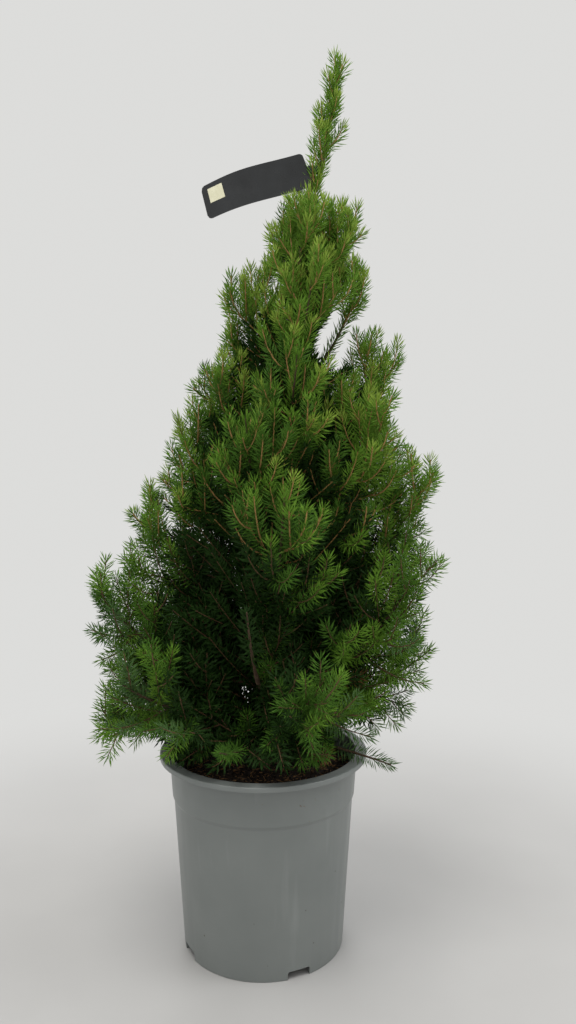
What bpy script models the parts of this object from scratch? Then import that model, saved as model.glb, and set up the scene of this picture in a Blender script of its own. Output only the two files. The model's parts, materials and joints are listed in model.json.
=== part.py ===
"""Dwarf conifer with a dense cone of needles, standing in its round nursery pot.

Metres, +Z up. The origin is the middle of the flat underside of the pot, the plant
leans towards +X, and -Y is the side that faces the viewer.
"""
import math
import random
from collections import namedtuple

import bmesh
import bpy
import numpy as np
from mathutils import Matrix, Vector
from mathutils.bvhtree import BVHTree

SEED = 1000
GAP = 0.0003
UP = Vector((0.0, 0.0, 1.0))

# Pot, a thin cone with a collar and a flat rim that turns down at its edge
POT_HEIGHT = 0.230
POT_FOOT_RADIUS = 0.0932
POT_TAPER = 0.0604
POT_WALL = 0.0022
POT_SIDES = 32
COLLAR_HEIGHT = 0.177
COLLAR_STEP = 0.0018
COLLAR_TOP_RADIUS = 0.1088
RIM_RADIUS = 0.120
RIM_THICKNESS = 0.0022
RIM_DROP = 0.006
PLATE_HEIGHT = 0.010
PLATE_THICKNESS = 0.003
HUB_RADIUS = 0.030
DRAIN_COUNT = 8
DRAIN_RING_RADIUS = 0.062
DRAIN_RADIUS = 0.005
NOTCH_COUNT = 4
NOTCH_WIDTH = 0.027
NOTCH_HEIGHT = 0.010
NOTCH_TURN = math.radians(-64)

# Soil, a root ball that fills the pot to just under its rim
SOIL_TOP = 0.2117
SOIL_EDGE = 0.208

# Trunk, which leans ever more and ends inside the leading shoot
TRUNK_FOOT = SOIL_TOP + GAP
TRUNK_TOP = 0.885
LEADER_TIP = 1.004
TIP_LEAN = 0.080
TRUNK_RADIUS = 0.0115
TRUNK_TOP_RADIUS = 0.0027
ROOT_FLARE = 0.0050
FLARE_HEIGHT = 0.012
TRUNK_SIDES = 10

# Tiers of limbs: where they leave the trunk, how high and how far their tips reach
# on the left and on the right, how much higher they end in front and behind, and
# which way the first one points, in degrees
Tier = namedtuple("Tier", "name foot left_tip left right_tip right rise count turn bough")
TIERS = (
    Tier("skirt", 0.243, 0.268, -0.198, 0.226, 0.155, 0.030, 5, -22, True),
    Tier("low", 0.262, 0.335, -0.184, 0.345, 0.195, 0.010, 5, 2, True),
    Tier("broad", 0.300, 0.418, -0.188, 0.450, 0.192, 0.0, 5, 196, True),
    Tier("waist", 0.365, 0.508, -0.138, 0.545, 0.188, 0.0, 4, 2, True),
    Tier("mid", 0.455, 0.612, -0.096, 0.618, 0.158, 0.0, 5, 183, False),
    Tier("high", 0.535, 0.668, -0.055, 0.682, 0.140, 0.0, 4, 6, False),
    Tier("neck", 0.630, 0.765, -0.022, 0.772, 0.118, 0.0, 4, 184, False),
    Tier("crest", 0.715, 0.835, 0.010, 0.850, 0.092, 0.0, 3, 15, False),
)
CROWN_DEPTH = 0.92
BOUGH_SHARE = 0.45
BOUGH_RADIUS = 0.0042
BOUGH_END_RADIUS = 0.0024
STEM_RADIUS = 0.0019
STEM_TIP_RADIUS = 0.0009
LIMB_STEPS = 24

# Sprays of needles: a slim core with alternate needle tips that stand out of it
GOLDEN_ANGLE = math.radians(137.5)
SHOOT_PITCH = 0.0125
SHOOT_EVERY = 2
NEEDLE_REACH = 0.0155
SLIM_REACH = 0.0055
SPRAY_RINGS = 4
SPACE_MARGIN = 0.0012
LIMB_CLEARANCE = 0.0065
TRUNK_CLEARANCE = 0.0025
BOUGH_CLEARANCE = 0.0020

# Cores: the dense heart of each mass, which the sprays stand out of
CORE_RADIUS = 0.064
CORE_INSET = 0.020
CORE_HOLLOW = (0.58, 0.84)
CORE_TOOTH = 0.014
TOOTH_SHARE = 0.45
SPRAY_OUT = 0.010
HANG_SLOPE = 0.6

# Label, one plastic ribbon whose narrow tail goes round the trunk
LABEL_HEIGHT = 0.879
LABEL_LENGTH = 0.122
LABEL_WIDTH = 0.034
LABEL_TAIL_WIDTH = 0.007
LABEL_THICKNESS = 0.0009
LABEL_SLOPE = 0.30
LABEL_LOOP_RADIUS = 0.0043

COLOURS = {
    "pot": (0.205, 0.235, 0.215, 0.45),
    "soil": (0.028, 0.016, 0.010, 0.95),
    "bark": (0.120, 0.062, 0.035, 0.90),
    "needles": (0.045, 0.120, 0.028, 0.55),
    "label": (0.012, 0.013, 0.014, 0.35),
}


def clear_scene():
    for obj in list(bpy.data.objects):
        bpy.data.objects.remove(obj)


def material(name):
    """A plain Principled BSDF in one of the part's colours."""
    found = bpy.data.materials.get(name)
    if found:
        return found
    made = bpy.data.materials.new(name)
    made.use_nodes = True
    red, green, blue, roughness = COLOURS[name]
    shader = made.node_tree.nodes["Principled BSDF"]
    shader.inputs["Base Color"].default_value = (red, green, blue, 1.0)
    shader.inputs["Roughness"].default_value = roughness
    shader.inputs["Metallic"].default_value = 0.0
    return made


def new_object(name, mesh, colour):
    obj = bpy.data.objects.new(name, mesh)
    bpy.context.collection.objects.link(obj)
    if not mesh.materials:
        mesh.materials.append(material(colour))
    return obj


def mesh_from(name, verts, faces):
    mesh = bpy.data.meshes.new(name)
    mesh.from_pydata([tuple(v) for v in verts], [], faces)
    mesh.validate()
    return mesh


def blend(value, start, end, low, high):
    """low at start and high at end, a straight line between and level outside."""
    share = min(1.0, max(0.0, (value - start) / (end - start)))
    return low + (high - low) * share


def lathe(name, profile, sides):
    """A closed body turned about Z from an outline that starts and ends on the axis."""
    verts = [Vector((0.0, 0.0, profile[0][1]))]
    rings = []
    for radius, height in profile[1:-1]:
        rings.append(len(verts))
        for i in range(sides):
            angle = 2 * math.pi * i / sides
            verts.append(Vector((radius * math.cos(angle), radius * math.sin(angle), height)))
    verts.append(Vector((0.0, 0.0, profile[-1][1])))
    faces = []
    for i in range(sides):
        j = (i + 1) % sides
        faces.append((0, rings[0] + j, rings[0] + i))
        for low, high in zip(rings, rings[1:]):
            faces.append((low + i, low + j, high + j, high + i))
        faces.append((rings[-1] + i, rings[-1] + j, len(verts) - 1))
    return mesh_from(name, verts, faces)


def across(direction):
    """Two unit vectors square to a direction and to each other."""
    helper = UP if abs(direction.z) < 0.95 else Vector((1.0, 0.0, 0.0))
    first = direction.cross(helper).normalized()
    return first, direction.cross(first)


def path_tangents(points):
    tangents = []
    for i, point in enumerate(points):
        before = points[max(0, i - 1)]
        after = points[min(len(points) - 1, i + 1)]
        tangents.append((after - before).normalized())
    return tangents


def tube(name, points, radii, sides):
    """A closed tube along a path, its rings turned as little as they can."""
    tangents = path_tangents(points)
    side = across(tangents[0])[0]
    verts = []
    for point, tangent, radius in zip(points, tangents, radii):
        side = (side - tangent * side.dot(tangent)).normalized()
        other = tangent.cross(side)
        for i in range(sides):
            angle = 2 * math.pi * i / sides
            verts.append(point + (side * math.cos(angle) + other * math.sin(angle)) * radius)
    faces = [tuple(reversed(range(sides)))]
    for ring in range(len(points) - 1):
        for i in range(sides):
            j = (i + 1) % sides
            low = ring * sides
            high = low + sides
            faces.append((low + i, low + j, high + j, high + i))
    faces.append(tuple(range(len(verts) - sides, len(verts))))
    return mesh_from(name, verts, faces)


def boolean(obj, operation, cutter=None, cutters=None):
    """Add and apply one exact Boolean with an object or with a whole collection."""
    modifier = obj.modifiers.new("fit", "BOOLEAN")
    modifier.operation = operation
    modifier.solver = "EXACT"
    if cutters:
        modifier.operand_type = "COLLECTION"
        modifier.collection = cutters
    else:
        modifier.object = cutter
    graph = bpy.context.evaluated_depsgraph_get()
    fitted = bpy.data.meshes.new_from_object(obj.evaluated_get(graph))
    obj.modifiers.clear()
    obj.data = fitted


def keep_largest_shell(mesh):
    """Drop loose scraps and the walls of sealed hollows, which fills them."""
    body = bmesh.new()
    body.from_mesh(mesh)
    unseen = set(body.verts)
    shells = []
    while unseen:
        shell = []
        front = [unseen.pop()]
        while front:
            vert = front.pop()
            shell.append(vert)
            for edge in vert.link_edges:
                other = edge.other_vert(vert)
                if other in unseen:
                    unseen.remove(other)
                    front.append(other)
        shells.append(shell)
    largest = max(shells, key=len)
    for shell in shells:
        if shell is not largest:
            bmesh.ops.delete(body, geom=shell, context="VERTS")
    body.to_mesh(mesh)
    body.free()


def shade(obj, degrees=40):
    obj.data.shade_smooth()
    obj.data.set_sharp_from_angle(angle=math.radians(degrees))


def pot_outer(height):
    return POT_FOOT_RADIUS + POT_TAPER * height


def pot_inner(height):
    """Inside radius of the pot, which steps out with the collar."""
    if height < COLLAR_HEIGHT:
        return pot_outer(height) - POT_WALL
    low = pot_outer(COLLAR_HEIGHT) + COLLAR_STEP - POT_WALL
    return blend(height, COLLAR_HEIGHT + 0.003, POT_HEIGHT, low, COLLAR_TOP_RADIUS - POT_WALL)


def make_pot():
    skirt = POT_FOOT_RADIUS - POT_WALL
    floor = PLATE_HEIGHT + PLATE_THICKNESS
    rim_under = POT_HEIGHT - RIM_THICKNESS
    collar_low = pot_outer(COLLAR_HEIGHT)
    bevel = 0.0012
    profile = (
        (0.0, 0.0),
        (HUB_RADIUS, 0.0),
        (HUB_RADIUS, PLATE_HEIGHT),
        (skirt, PLATE_HEIGHT),
        (skirt, 0.0),
        (POT_FOOT_RADIUS, 0.0),
        (collar_low, COLLAR_HEIGHT),
        (collar_low + COLLAR_STEP, COLLAR_HEIGHT + 0.003),
        (COLLAR_TOP_RADIUS, rim_under),
        (RIM_RADIUS - RIM_THICKNESS, rim_under),
        (RIM_RADIUS - RIM_THICKNESS, POT_HEIGHT - RIM_DROP),
        (RIM_RADIUS, POT_HEIGHT - RIM_DROP),
        (RIM_RADIUS, POT_HEIGHT - bevel),
        (RIM_RADIUS - bevel, POT_HEIGHT),
        (COLLAR_TOP_RADIUS - POT_WALL + bevel, POT_HEIGHT),
        (COLLAR_TOP_RADIUS - POT_WALL, POT_HEIGHT - bevel),
        (pot_inner(COLLAR_HEIGHT + 0.003), COLLAR_HEIGHT + 0.003),
        (collar_low - POT_WALL, COLLAR_HEIGHT - GAP),
        (pot_outer(floor) - POT_WALL, floor),
        (0.0, floor),
    )
    pot = new_object("pot", lathe("pot", profile, POT_SIDES), "pot")
    cutters = bpy.data.collections.new("pot_cutters")
    bpy.context.scene.collection.children.link(cutters)
    for i in range(DRAIN_COUNT):
        angle = 2 * math.pi * (i + 0.5) / DRAIN_COUNT
        place = Vector((math.cos(angle), math.sin(angle), 0.0)) * DRAIN_RING_RADIUS
        hole = [place + UP * 0.004, place + UP * 0.020]
        mesh = tube("drain", hole, [DRAIN_RADIUS] * 2, 8)
        cutters.objects.link(bpy.data.objects.new("drain", mesh))
    for i in range(NOTCH_COUNT):
        angle = NOTCH_TURN + 2 * math.pi * i / NOTCH_COUNT
        mesh = mesh_from("notch", *notch_box())
        mesh.transform(Matrix.Rotation(angle, 4, "Z"))
        cutters.objects.link(bpy.data.objects.new("notch", mesh))
    boolean(pot, "DIFFERENCE", cutters=cutters)
    remove_collection(cutters)
    shade(pot, 30)


def notch_box():
    """Box that cuts one drain notch through the foot ring on the +X side."""
    near = POT_FOOT_RADIUS - 0.012
    far = POT_FOOT_RADIUS + 0.010
    half = NOTCH_WIDTH / 2
    low = -0.004
    high = NOTCH_HEIGHT - GAP
    verts = [Vector((x, y, z)) for x in (near, far) for y in (-half, half) for z in (low, high)]
    faces = [(0, 1, 3, 2), (4, 6, 7, 5), (0, 4, 5, 1), (2, 3, 7, 6), (0, 2, 6, 4), (1, 5, 7, 3)]
    return verts, faces


def remove_collection(group):
    for obj in list(group.objects):
        bpy.data.objects.remove(obj)
    bpy.data.collections.remove(group)


def make_soil():
    floor = PLATE_HEIGHT + PLATE_THICKNESS + GAP
    step = COLLAR_HEIGHT + 0.003
    profile = (
        (0.0, floor),
        (pot_inner(floor) - GAP, floor),
        (pot_inner(COLLAR_HEIGHT - 2 * GAP) - GAP, COLLAR_HEIGHT - 2 * GAP),
        (pot_inner(step) - 2 * GAP, step),
        (pot_inner(SOIL_EDGE) - 2 * GAP, SOIL_EDGE),
        (0.085, SOIL_TOP - 0.0015),
        (0.030, SOIL_TOP),
        (0.0, SOIL_TOP),
    )
    shade(new_object("soil", lathe("soil", profile, POT_SIDES), "soil"))


def trunk_point(height):
    """Where the trunk's middle is at a height: it leans more and more to +X."""
    share = (height - SOIL_TOP) / (LEADER_TIP - SOIL_TOP)
    return Vector((TIP_LEAN * share * share, 0.006 * math.sin(5.0 * share), height))


def trunk_radius(height):
    flare = ROOT_FLARE * math.exp(-(height - TRUNK_FOOT) / FLARE_HEIGHT)
    return blend(height, TRUNK_FOOT, TRUNK_TOP, TRUNK_RADIUS, TRUNK_TOP_RADIUS) + flare


def trunk_mesh(grow):
    """The trunk with level rings, its root flare in lobes; grow makes it thicker."""
    heights = [TRUNK_FOOT, TRUNK_FOOT + 0.004, TRUNK_FOOT + 0.010, TRUNK_FOOT + 0.020]
    steps = 14
    for i in range(1, steps + 1):
        heights.append(blend(i, 0, steps, heights[3], TRUNK_TOP))
    verts = []
    for height in heights:
        middle = trunk_point(height)
        lobe = 0.22 * math.exp(-(height - TRUNK_FOOT) / FLARE_HEIGHT)
        for i in range(TRUNK_SIDES):
            angle = 2 * math.pi * i / TRUNK_SIDES
            radius = (trunk_radius(height) + grow) * (1.0 + lobe * math.cos(5 * angle + 0.6))
            verts.append(middle + Vector((math.cos(angle), math.sin(angle), 0.0)) * radius)
    if grow:
        for vert in verts[:TRUNK_SIDES]:
            vert.z -= grow
        for vert in verts[-TRUNK_SIDES:]:
            vert.z += grow
    faces = [tuple(reversed(range(TRUNK_SIDES)))]
    for ring in range(len(heights) - 1):
        for i in range(TRUNK_SIDES):
            j = (i + 1) % TRUNK_SIDES
            low = ring * TRUNK_SIDES
            high = low + TRUNK_SIDES
            faces.append((low + i, low + j, high + j, high + i))
    faces.append(tuple(range(len(verts) - TRUNK_SIDES, len(verts))))
    return mesh_from("trunk", verts, faces)


def label_path():
    """Middle line of the label: from its free end to the trunk and once round it."""
    middle = trunk_point(LABEL_HEIGHT)
    points = []
    steps = 10
    for i in range(steps + 1):
        share = i / steps
        run = (1.0 - share) * LABEL_LENGTH
        bow = 0.012 * math.sin(math.pi * share) + 0.004 * math.sin(2 * math.pi * share)
        points.append(Vector((-LABEL_LOOP_RADIUS * 0.4 - run * 0.97, -LABEL_LOOP_RADIUS - bow, 0.0)))
    turns = 12
    for i in range(1, turns + 1):
        angle = math.radians(-104 + 325 * i / turns)
        points.append(Vector((math.cos(angle), math.sin(angle), 0.0)) * LABEL_LOOP_RADIUS)
    path = []
    for i, point in enumerate(points):
        drop = LABEL_SLOPE * max(0.0, -point.x - 0.004) if i <= steps else 0.0
        path.append(middle + point - UP * drop)
    return path, steps


def make_label():
    path, flat_steps = label_path()
    tangents = path_tangents(path)
    verts = []
    for i, (point, tangent) in enumerate(zip(path, tangents)):
        out = tangent.cross(UP).normalized()
        rise = out.cross(tangent)
        share = i / flat_steps
        wide = LABEL_WIDTH if share < 0.85 else LABEL_TAIL_WIDTH
        wide -= 0.006 * (i == 0)
        half = wide / 2
        for side, edge in ((1, -1), (-1, -1), (-1, 1), (1, 1)):
            verts.append(point + out * side * LABEL_THICKNESS / 2 + rise * edge * half)
    faces = [(3, 2, 1, 0)]
    for ring in range(len(path) - 1):
        for i in range(4):
            j = (i + 1) % 4
            low = ring * 4
            faces.append((low + i, low + j, low + 4 + j, low + 4 + i))
    last = len(verts)
    faces.append((last - 4, last - 3, last - 2, last - 1))
    new_object("label", mesh_from("label", verts, faces), "label")


def limb_line(tier, index, rng):
    """Middle line of one limb: it leaves the trunk outwards and turns up to its tip."""
    angle = math.radians(tier.turn + 360 * index / tier.count)
    reach = 1.0
    lift = 0.0
    if index:
        angle += math.radians(rng.uniform(-9, 9))
        reach = rng.uniform(0.92, 1.0)
        lift = rng.uniform(-0.016, 0.016)
    side = (1 + math.cos(angle)) / 2
    rise = tier.rise * math.sin(angle) ** 2
    radius = (tier.right - tier.left) / 2 * reach
    tip = Vector((
        (tier.left + tier.right) / 2 + radius * math.cos(angle),
        radius * math.sin(angle) * CROWN_DEPTH,
        tier.left_tip + (tier.right_tip - tier.left_tip) * side + rise + lift,
    ))
    foot = trunk_point(tier.foot + rng.uniform(-0.01, 0.01))
    way = tip - foot
    knee = foot + Vector((way.x * 0.62, way.y * 0.62, way.z * 0.22))
    points = []
    for i in range(LIMB_STEPS + 1):
        t = i / LIMB_STEPS
        points.append(foot * (1 - t) ** 2 + knee * 2 * t * (1 - t) + tip * t * t)
    return points


def limbs():
    """Every limb of the crown: its name, tier, seed and middle line."""
    found = []
    for tier in TIERS:
        for index in range(tier.count):
            seed = SEED + len(found)
            line = limb_line(tier, index, random.Random(seed))
            found.append((f"{tier.name}_{index + 1}", tier, seed, line))
    steps = 16
    line = []
    for i in range(steps + 1):
        line.append(trunk_point(blend(i, 0, steps, TRUNK_TOP + GAP, LEADER_TIP)))
    found.append(("leader", None, SEED + len(found), line))
    return found


class Line:
    """A path that can be read at any distance along it."""

    def __init__(self, points):
        self.points = points
        self.marks = [0.0]
        for before, after in zip(points, points[1:]):
            self.marks.append(self.marks[-1] + (after - before).length)
        self.length = self.marks[-1]

    def at(self, distance):
        distance = min(self.length, max(0.0, distance))
        for i in range(1, len(self.marks)):
            if distance <= self.marks[i] or i == len(self.marks) - 1:
                step = self.marks[i] - self.marks[i - 1]
                return self.points[i - 1].lerp(self.points[i], (distance - self.marks[i - 1]) / step)

    def way(self, distance):
        return (self.at(distance + 0.003) - self.at(distance - 0.003)).normalized()

    def cut(self, start, end, steps):
        return [self.at(start + (end - start) * i / steps) for i in range(steps + 1)]


def shoot_line(start, way, length, lift, steps=6):
    """A side shoot that leaves in one direction and bends up as it grows."""
    points = [start]
    way = way.normalized()
    for _ in range(steps):
        points.append(points[-1] + way * (length / steps))
        way = (way + UP * (lift / steps)).normalized()
    return points


def side_shoots(name, seed, line):
    """Shoots up a limb by the golden angle, shorter and closer to it near its tip."""
    rng = random.Random(seed + 5000)
    first = 0.0 if name == "leader" else 0.30
    run = line.length * (0.965 - first)
    count = int(run / SHOOT_PITCH)
    spin = rng.uniform(0, 2 * math.pi)
    tall = line.points[-1].z
    made = []
    for i in range(count):
        share = first + (0.965 - first) * (i + 0.5) / count
        start = line.at(share * line.length)
        way = line.way(share * line.length)
        across_1, across_2 = across(way)
        spin += GOLDEN_ANGLE
        side = across_1 * math.cos(spin) + across_2 * math.sin(spin)
        lean = math.radians(blend(share, 0.3, 1.0, 62, 34) + rng.uniform(-8, 8))
        reach = blend(share, 0.45, 0.95, 0.085, 0.040) * blend(tall, 0.6, 0.9, 1.0, 0.7)
        if name == "leader":
            lean *= 0.7
            reach = blend(share, 0.0, 0.9, 0.036, 0.020)
        length = reach * rng.uniform(0.75, 1.1)
        lift = blend(start.z, 0.26, 0.45, -0.1, 0.9) + blend(start.z, 0.45, 0.9, 0.0, 0.4)
        out = way * math.cos(lean) + side * math.sin(lean)
        made.append(shoot_line(start, out, length, lift))
    return made


def spray_mesh(points, twist):
    """A closed spray: rings of four, two needle tips out and two in, turn about."""
    line = Line(points)
    step = line.length / (SPRAY_RINGS + 0.6)
    side = across(line.way(0.0))[0]
    verts = [line.at(0.0)]
    for ring in range(SPRAY_RINGS):
        distance = step * (ring + 0.45)
        way = line.way(distance)
        side = (side - way * side.dot(way)).normalized()
        other = way.cross(side)
        taper = 0.55 if ring == 0 else blend(ring, 2, SPRAY_RINGS - 1, 1.0, 0.72)
        for i in range(4):
            angle = twist + i * math.pi / 2
            out = (i + ring) % 2 == 0
            radius = (NEEDLE_REACH if out else SLIM_REACH) * taper
            ahead = step * 0.62 if out else 0.0
            spoke = side * math.cos(angle) + other * math.sin(angle)
            verts.append(line.at(distance) + spoke * radius + way * ahead)
    verts.append(line.at(line.length) + line.way(line.length) * 0.004)
    faces = []
    for i in range(4):
        j = (i + 1) % 4
        faces.append((0, 1 + j, 1 + i))
        for ring in range(SPRAY_RINGS - 1):
            low = 1 + ring * 4
            high = low + 4
            if (i + ring) % 2 == 0:
                faces.append((low + i, low + j, high + i))
                faces.append((low + j, high + j, high + i))
            else:
                faces.append((low + i, low + j, high + j))
                faces.append((low + i, high + j, high + i))
        low = 1 + (SPRAY_RINGS - 1) * 4
        faces.append((low + i, low + j, len(verts) - 1))
    return mesh_from("spray", verts, faces)


def lowest_height(points):
    """How low needles may hang at each place: clear of the rim, lower outside it."""
    beyond = np.hypot(points[:, 0], points[:, 1]) - RIM_RADIUS - 0.005
    return POT_HEIGHT + 0.0035 - HANG_SLOPE * np.maximum(beyond, 0.0)


def inside_outline(points, inset):
    """Which points lie inside the crown's outline, drawn in by an inset."""
    left_heights = [tier.left_tip for tier in TIERS]
    right_heights = [tier.right_tip for tier in TIERS]
    left = np.interp(points[:, 2], left_heights, [tier.left for tier in TIERS])
    right = np.interp(points[:, 2], right_heights, [tier.right for tier in TIERS])
    radius = np.maximum((right - left) / 2 - inset, 0.004)
    return np.hypot(points[:, 0] - (left + right) / 2, points[:, 1] / CROWN_DEPTH) < radius


def gaps_to(points, spots, radii=0.0):
    """Least distance from each point to some spots, less the radius at each spot."""
    gaps = np.linalg.norm(points[:, None, :] - spots[None, :, :], axis=2) - radii
    return gaps.min(axis=1)


class Spaces:
    """The space of each mass is all that lies nearer its own limb than any other."""

    def __init__(self, crown):
        self.lines = {}
        self.ends = {}
        for name, tier, _, points in crown:
            line = Line(points)
            if tier and tier.bough:
                end = line.length * BOUGH_SHARE
                self.ends[name] = (np.array(line.at(end)), np.array(line.way(end)))
            self.lines[name] = np.array([tuple(p) for p in line.cut(0.0, line.length, 40)])
        heights = np.linspace(TRUNK_FOOT, TRUNK_TOP, 100)
        self.trunk = np.array([tuple(trunk_point(h)) for h in heights])
        self.trunk_radii = np.array([trunk_radius(h) for h in heights])
        label = Line(label_path()[0])
        rows = []
        for point in label.cut(0.0, label.length, 40):
            for rise in (-1.0, -0.5, 0.0, 0.5, 1.0):
                rows.append(tuple(point + UP * rise * LABEL_WIDTH / 2))
        self.label = np.array(rows)

    def holds(self, name, points):
        """Which points are in the space of this mass and clear of all else."""
        own = gaps_to(points, self.lines[name])
        fits = points[:, 2] > lowest_height(points)
        if name in self.ends:
            place, way = self.ends[name]
            fits &= (points - place) @ way > BOUGH_CLEARANCE
        for other, line in self.lines.items():
            if other != name:
                gaps = gaps_to(points, line)
                fits &= (gaps - own > 2 * SPACE_MARGIN) & (gaps > LIMB_CLEARANCE)
        fits &= gaps_to(points, self.trunk, self.trunk_radii) > TRUNK_CLEARANCE
        return fits & (gaps_to(points, self.label) > 0.006)


def mesh_points(mesh):
    return np.array([tuple(vert.co) for vert in mesh.vertices])


def core_mesh(name, seed, line, start, spaces):
    """A toothed lump round the stem, each of its points pushed out as far as it may."""
    rng = random.Random(seed + 9000)
    middle = line.at(start + 0.56 * (line.length - start))
    way = (line.at(line.length) - line.at(start)).normalized()
    long_half = 0.50 * (line.length - start)
    body = bmesh.new()
    bmesh.ops.create_icosphere(body, subdivisions=2, radius=1.0)
    steps = np.linspace(0.1, 1.0, 19)
    for vert in body.verts:
        along = vert.co.z
        first, other = across(way)
        aim = (first * vert.co.x + other * vert.co.y) * CORE_RADIUS + way * along * long_half
        if len(vert.link_edges) > 5:
            aim *= rng.uniform(*CORE_HOLLOW)
        ray = np.array([tuple(middle + aim * float(step)) for step in steps])
        fits = spaces.holds(name, ray) & inside_outline(ray, CORE_INSET)
        reach = steps[-1] if fits.all() else steps[max(0, int(np.argmin(fits)) - 1)]
        vert.co = middle + aim * float(reach)
    body.normal_update()
    tips = [face.calc_center_median() + (face.normal + UP * 0.5) * CORE_TOOTH for face in body.faces]
    fits = spaces.holds(name, np.array([tuple(tip) for tip in tips]))
    for face, tip, free in zip(list(body.faces), tips, fits):
        if free and rng.random() < TOOTH_SHARE:
            apex = bmesh.ops.poke(body, faces=[face])["verts"][0]
            apex.co = tip
    mesh = bpy.data.meshes.new("core")
    body.to_mesh(mesh)
    body.free()
    return mesh


def make_bough(name, line, trunk_cutter):
    end = line.length * BOUGH_SHARE
    steps = 5
    points = line.cut(0.0, end, steps)
    radii = [blend(i, 0, steps, BOUGH_RADIUS, BOUGH_END_RADIUS) for i in range(steps + 1)]
    bough = new_object(f"bough_{name}", tube("bough", points, radii, 6), "bark")
    boolean(bough, "DIFFERENCE", cutter=trunk_cutter)
    keep_largest_shell(bough.data)
    shade(bough, 60)


def make_mass(name, tier, seed, line, spaces, trunk_cutter):
    """One mass of foliage: a stem and core with sprays of needles sunk into them."""
    start = 0.0
    if tier and tier.bough:
        start = line.length * BOUGH_SHARE + GAP
    steps = 4
    points = line.cut(start, line.length - 0.004, steps)
    radii = [blend(i, 0, steps, STEM_RADIUS, STEM_TIP_RADIUS) for i in range(steps + 1)]
    mass = new_object(f"needles_{name}", tube("stem", points, radii, 5), "needles")
    if tier and not tier.bough:
        boolean(mass, "DIFFERENCE", cutter=trunk_cutter)
    fused = bpy.data.collections.new("fused")
    bpy.context.scene.collection.children.link(fused)
    core = None
    if tier:
        mesh = core_mesh(name, seed, line, start, spaces)
        core = BVHTree.FromPolygons([v.co for v in mesh.vertices], [p.vertices for p in mesh.polygons])
        fused.objects.link(bpy.data.objects.new("core", mesh))
    shoots = [line.cut(line.length - min(0.055, 0.7 * (line.length - start)), line.length, 6)]
    for i, shoot in enumerate(side_shoots(name, seed, line)):
        if i % SHOOT_EVERY == 0 or not core:
            shoots.append(shoot)
    count = 0
    for i, shoot in enumerate(shoots):
        mesh = spray_mesh(shoot, i * 0.7)
        if spaces.holds(name, mesh_points(mesh)[1:]).all() and (i == 0 or stands_out(shoot[-1], core)):
            fused.objects.link(bpy.data.objects.new("spray", mesh))
            count += 1
    boolean(mass, "UNION", cutters=fused)
    remove_collection(fused)
    keep_largest_shell(mass.data)
    return count, len(shoots)


def stands_out(tip, core):
    """Whether a shoot's tip is far enough outside the core to show."""
    if core is None:
        return True
    spot, normal, _, distance = core.find_nearest(tip)
    return (tip - spot).dot(normal) > 0 and distance > SPRAY_OUT


def main():
    clear_scene()
    make_pot()
    make_soil()
    shade(new_object("trunk", trunk_mesh(0.0), "bark"), 60)
    make_label()
    cutter = new_object("trunk_cutter", trunk_mesh(GAP), "bark")
    cutter.hide_render = True
    cutter.display_type = "WIRE"
    crown = limbs()
    spaces = Spaces(crown)
    for name, tier, seed, points in crown:
        line = Line(points)
        if tier and tier.bough:
            make_bough(name, line, cutter)
        kept, drawn = make_mass(name, tier, seed, line, spaces, cutter)
        print(f"{name}: {kept} of {drawn} sprays")


main()
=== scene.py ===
# %% [markdown]
# # Potted dwarf alberta spruce
# A slow-growing conifer makes a dense cone: a leaning trunk, tiers of boughs that turn
# up at their ends, and hundreds of short shoots that are brushes of needles. This file
# dresses the plain solids of the construction model. The solids fix every size, so the
# first step loads them.

# %% Load the construction model
import json
import math
import random
from collections import namedtuple

import bmesh
import bpy
import numpy as np
from mathutils import Matrix, Vector, noise

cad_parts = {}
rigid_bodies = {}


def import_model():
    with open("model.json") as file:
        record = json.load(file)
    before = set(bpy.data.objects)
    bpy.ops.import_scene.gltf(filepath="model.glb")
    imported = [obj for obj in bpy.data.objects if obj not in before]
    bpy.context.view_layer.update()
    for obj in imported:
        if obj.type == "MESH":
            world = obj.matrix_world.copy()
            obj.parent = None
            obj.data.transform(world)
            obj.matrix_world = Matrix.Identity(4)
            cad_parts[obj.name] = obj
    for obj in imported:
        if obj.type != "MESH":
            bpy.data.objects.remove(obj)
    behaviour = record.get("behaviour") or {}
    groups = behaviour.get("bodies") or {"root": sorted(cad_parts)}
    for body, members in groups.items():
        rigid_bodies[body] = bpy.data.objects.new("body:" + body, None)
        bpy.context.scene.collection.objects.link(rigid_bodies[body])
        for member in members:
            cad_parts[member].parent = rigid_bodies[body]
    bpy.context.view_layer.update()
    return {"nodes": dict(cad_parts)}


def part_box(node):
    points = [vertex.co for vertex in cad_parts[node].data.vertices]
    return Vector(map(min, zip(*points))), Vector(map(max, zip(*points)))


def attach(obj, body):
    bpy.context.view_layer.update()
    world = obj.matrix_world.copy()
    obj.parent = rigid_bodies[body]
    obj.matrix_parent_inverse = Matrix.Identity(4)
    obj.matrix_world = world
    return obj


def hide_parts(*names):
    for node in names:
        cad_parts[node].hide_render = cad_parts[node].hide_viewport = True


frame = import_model()
nodes = list(frame["nodes"])
boughs = [name for name in nodes if name.startswith("bough_")]
masses = [name for name in nodes if name.startswith("needles_")]
print("solids:", len(nodes), "boughs:", len(boughs), "masses:", len(masses))

# %% [markdown]
# ## Camera
# The photograph was taken from about a metre away, a little above the middle of the
# plant, with the wide lens of a phone. From so near, perspective changes every size, so
# the camera isn't set by eye. Its place comes from a fit to the round rim and foot of
# the pot.

# %% Camera
PHOTO_HEIGHT_PX = 1024
FOCAL_PX = 885
SENSOR_MM = 36.0
NEAREST_SEEN = 0.02
CAMERA_PLACE = Vector((0.0286, -1.006, 0.596))
CAMERA_PITCH = math.radians(-5.12)


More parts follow.
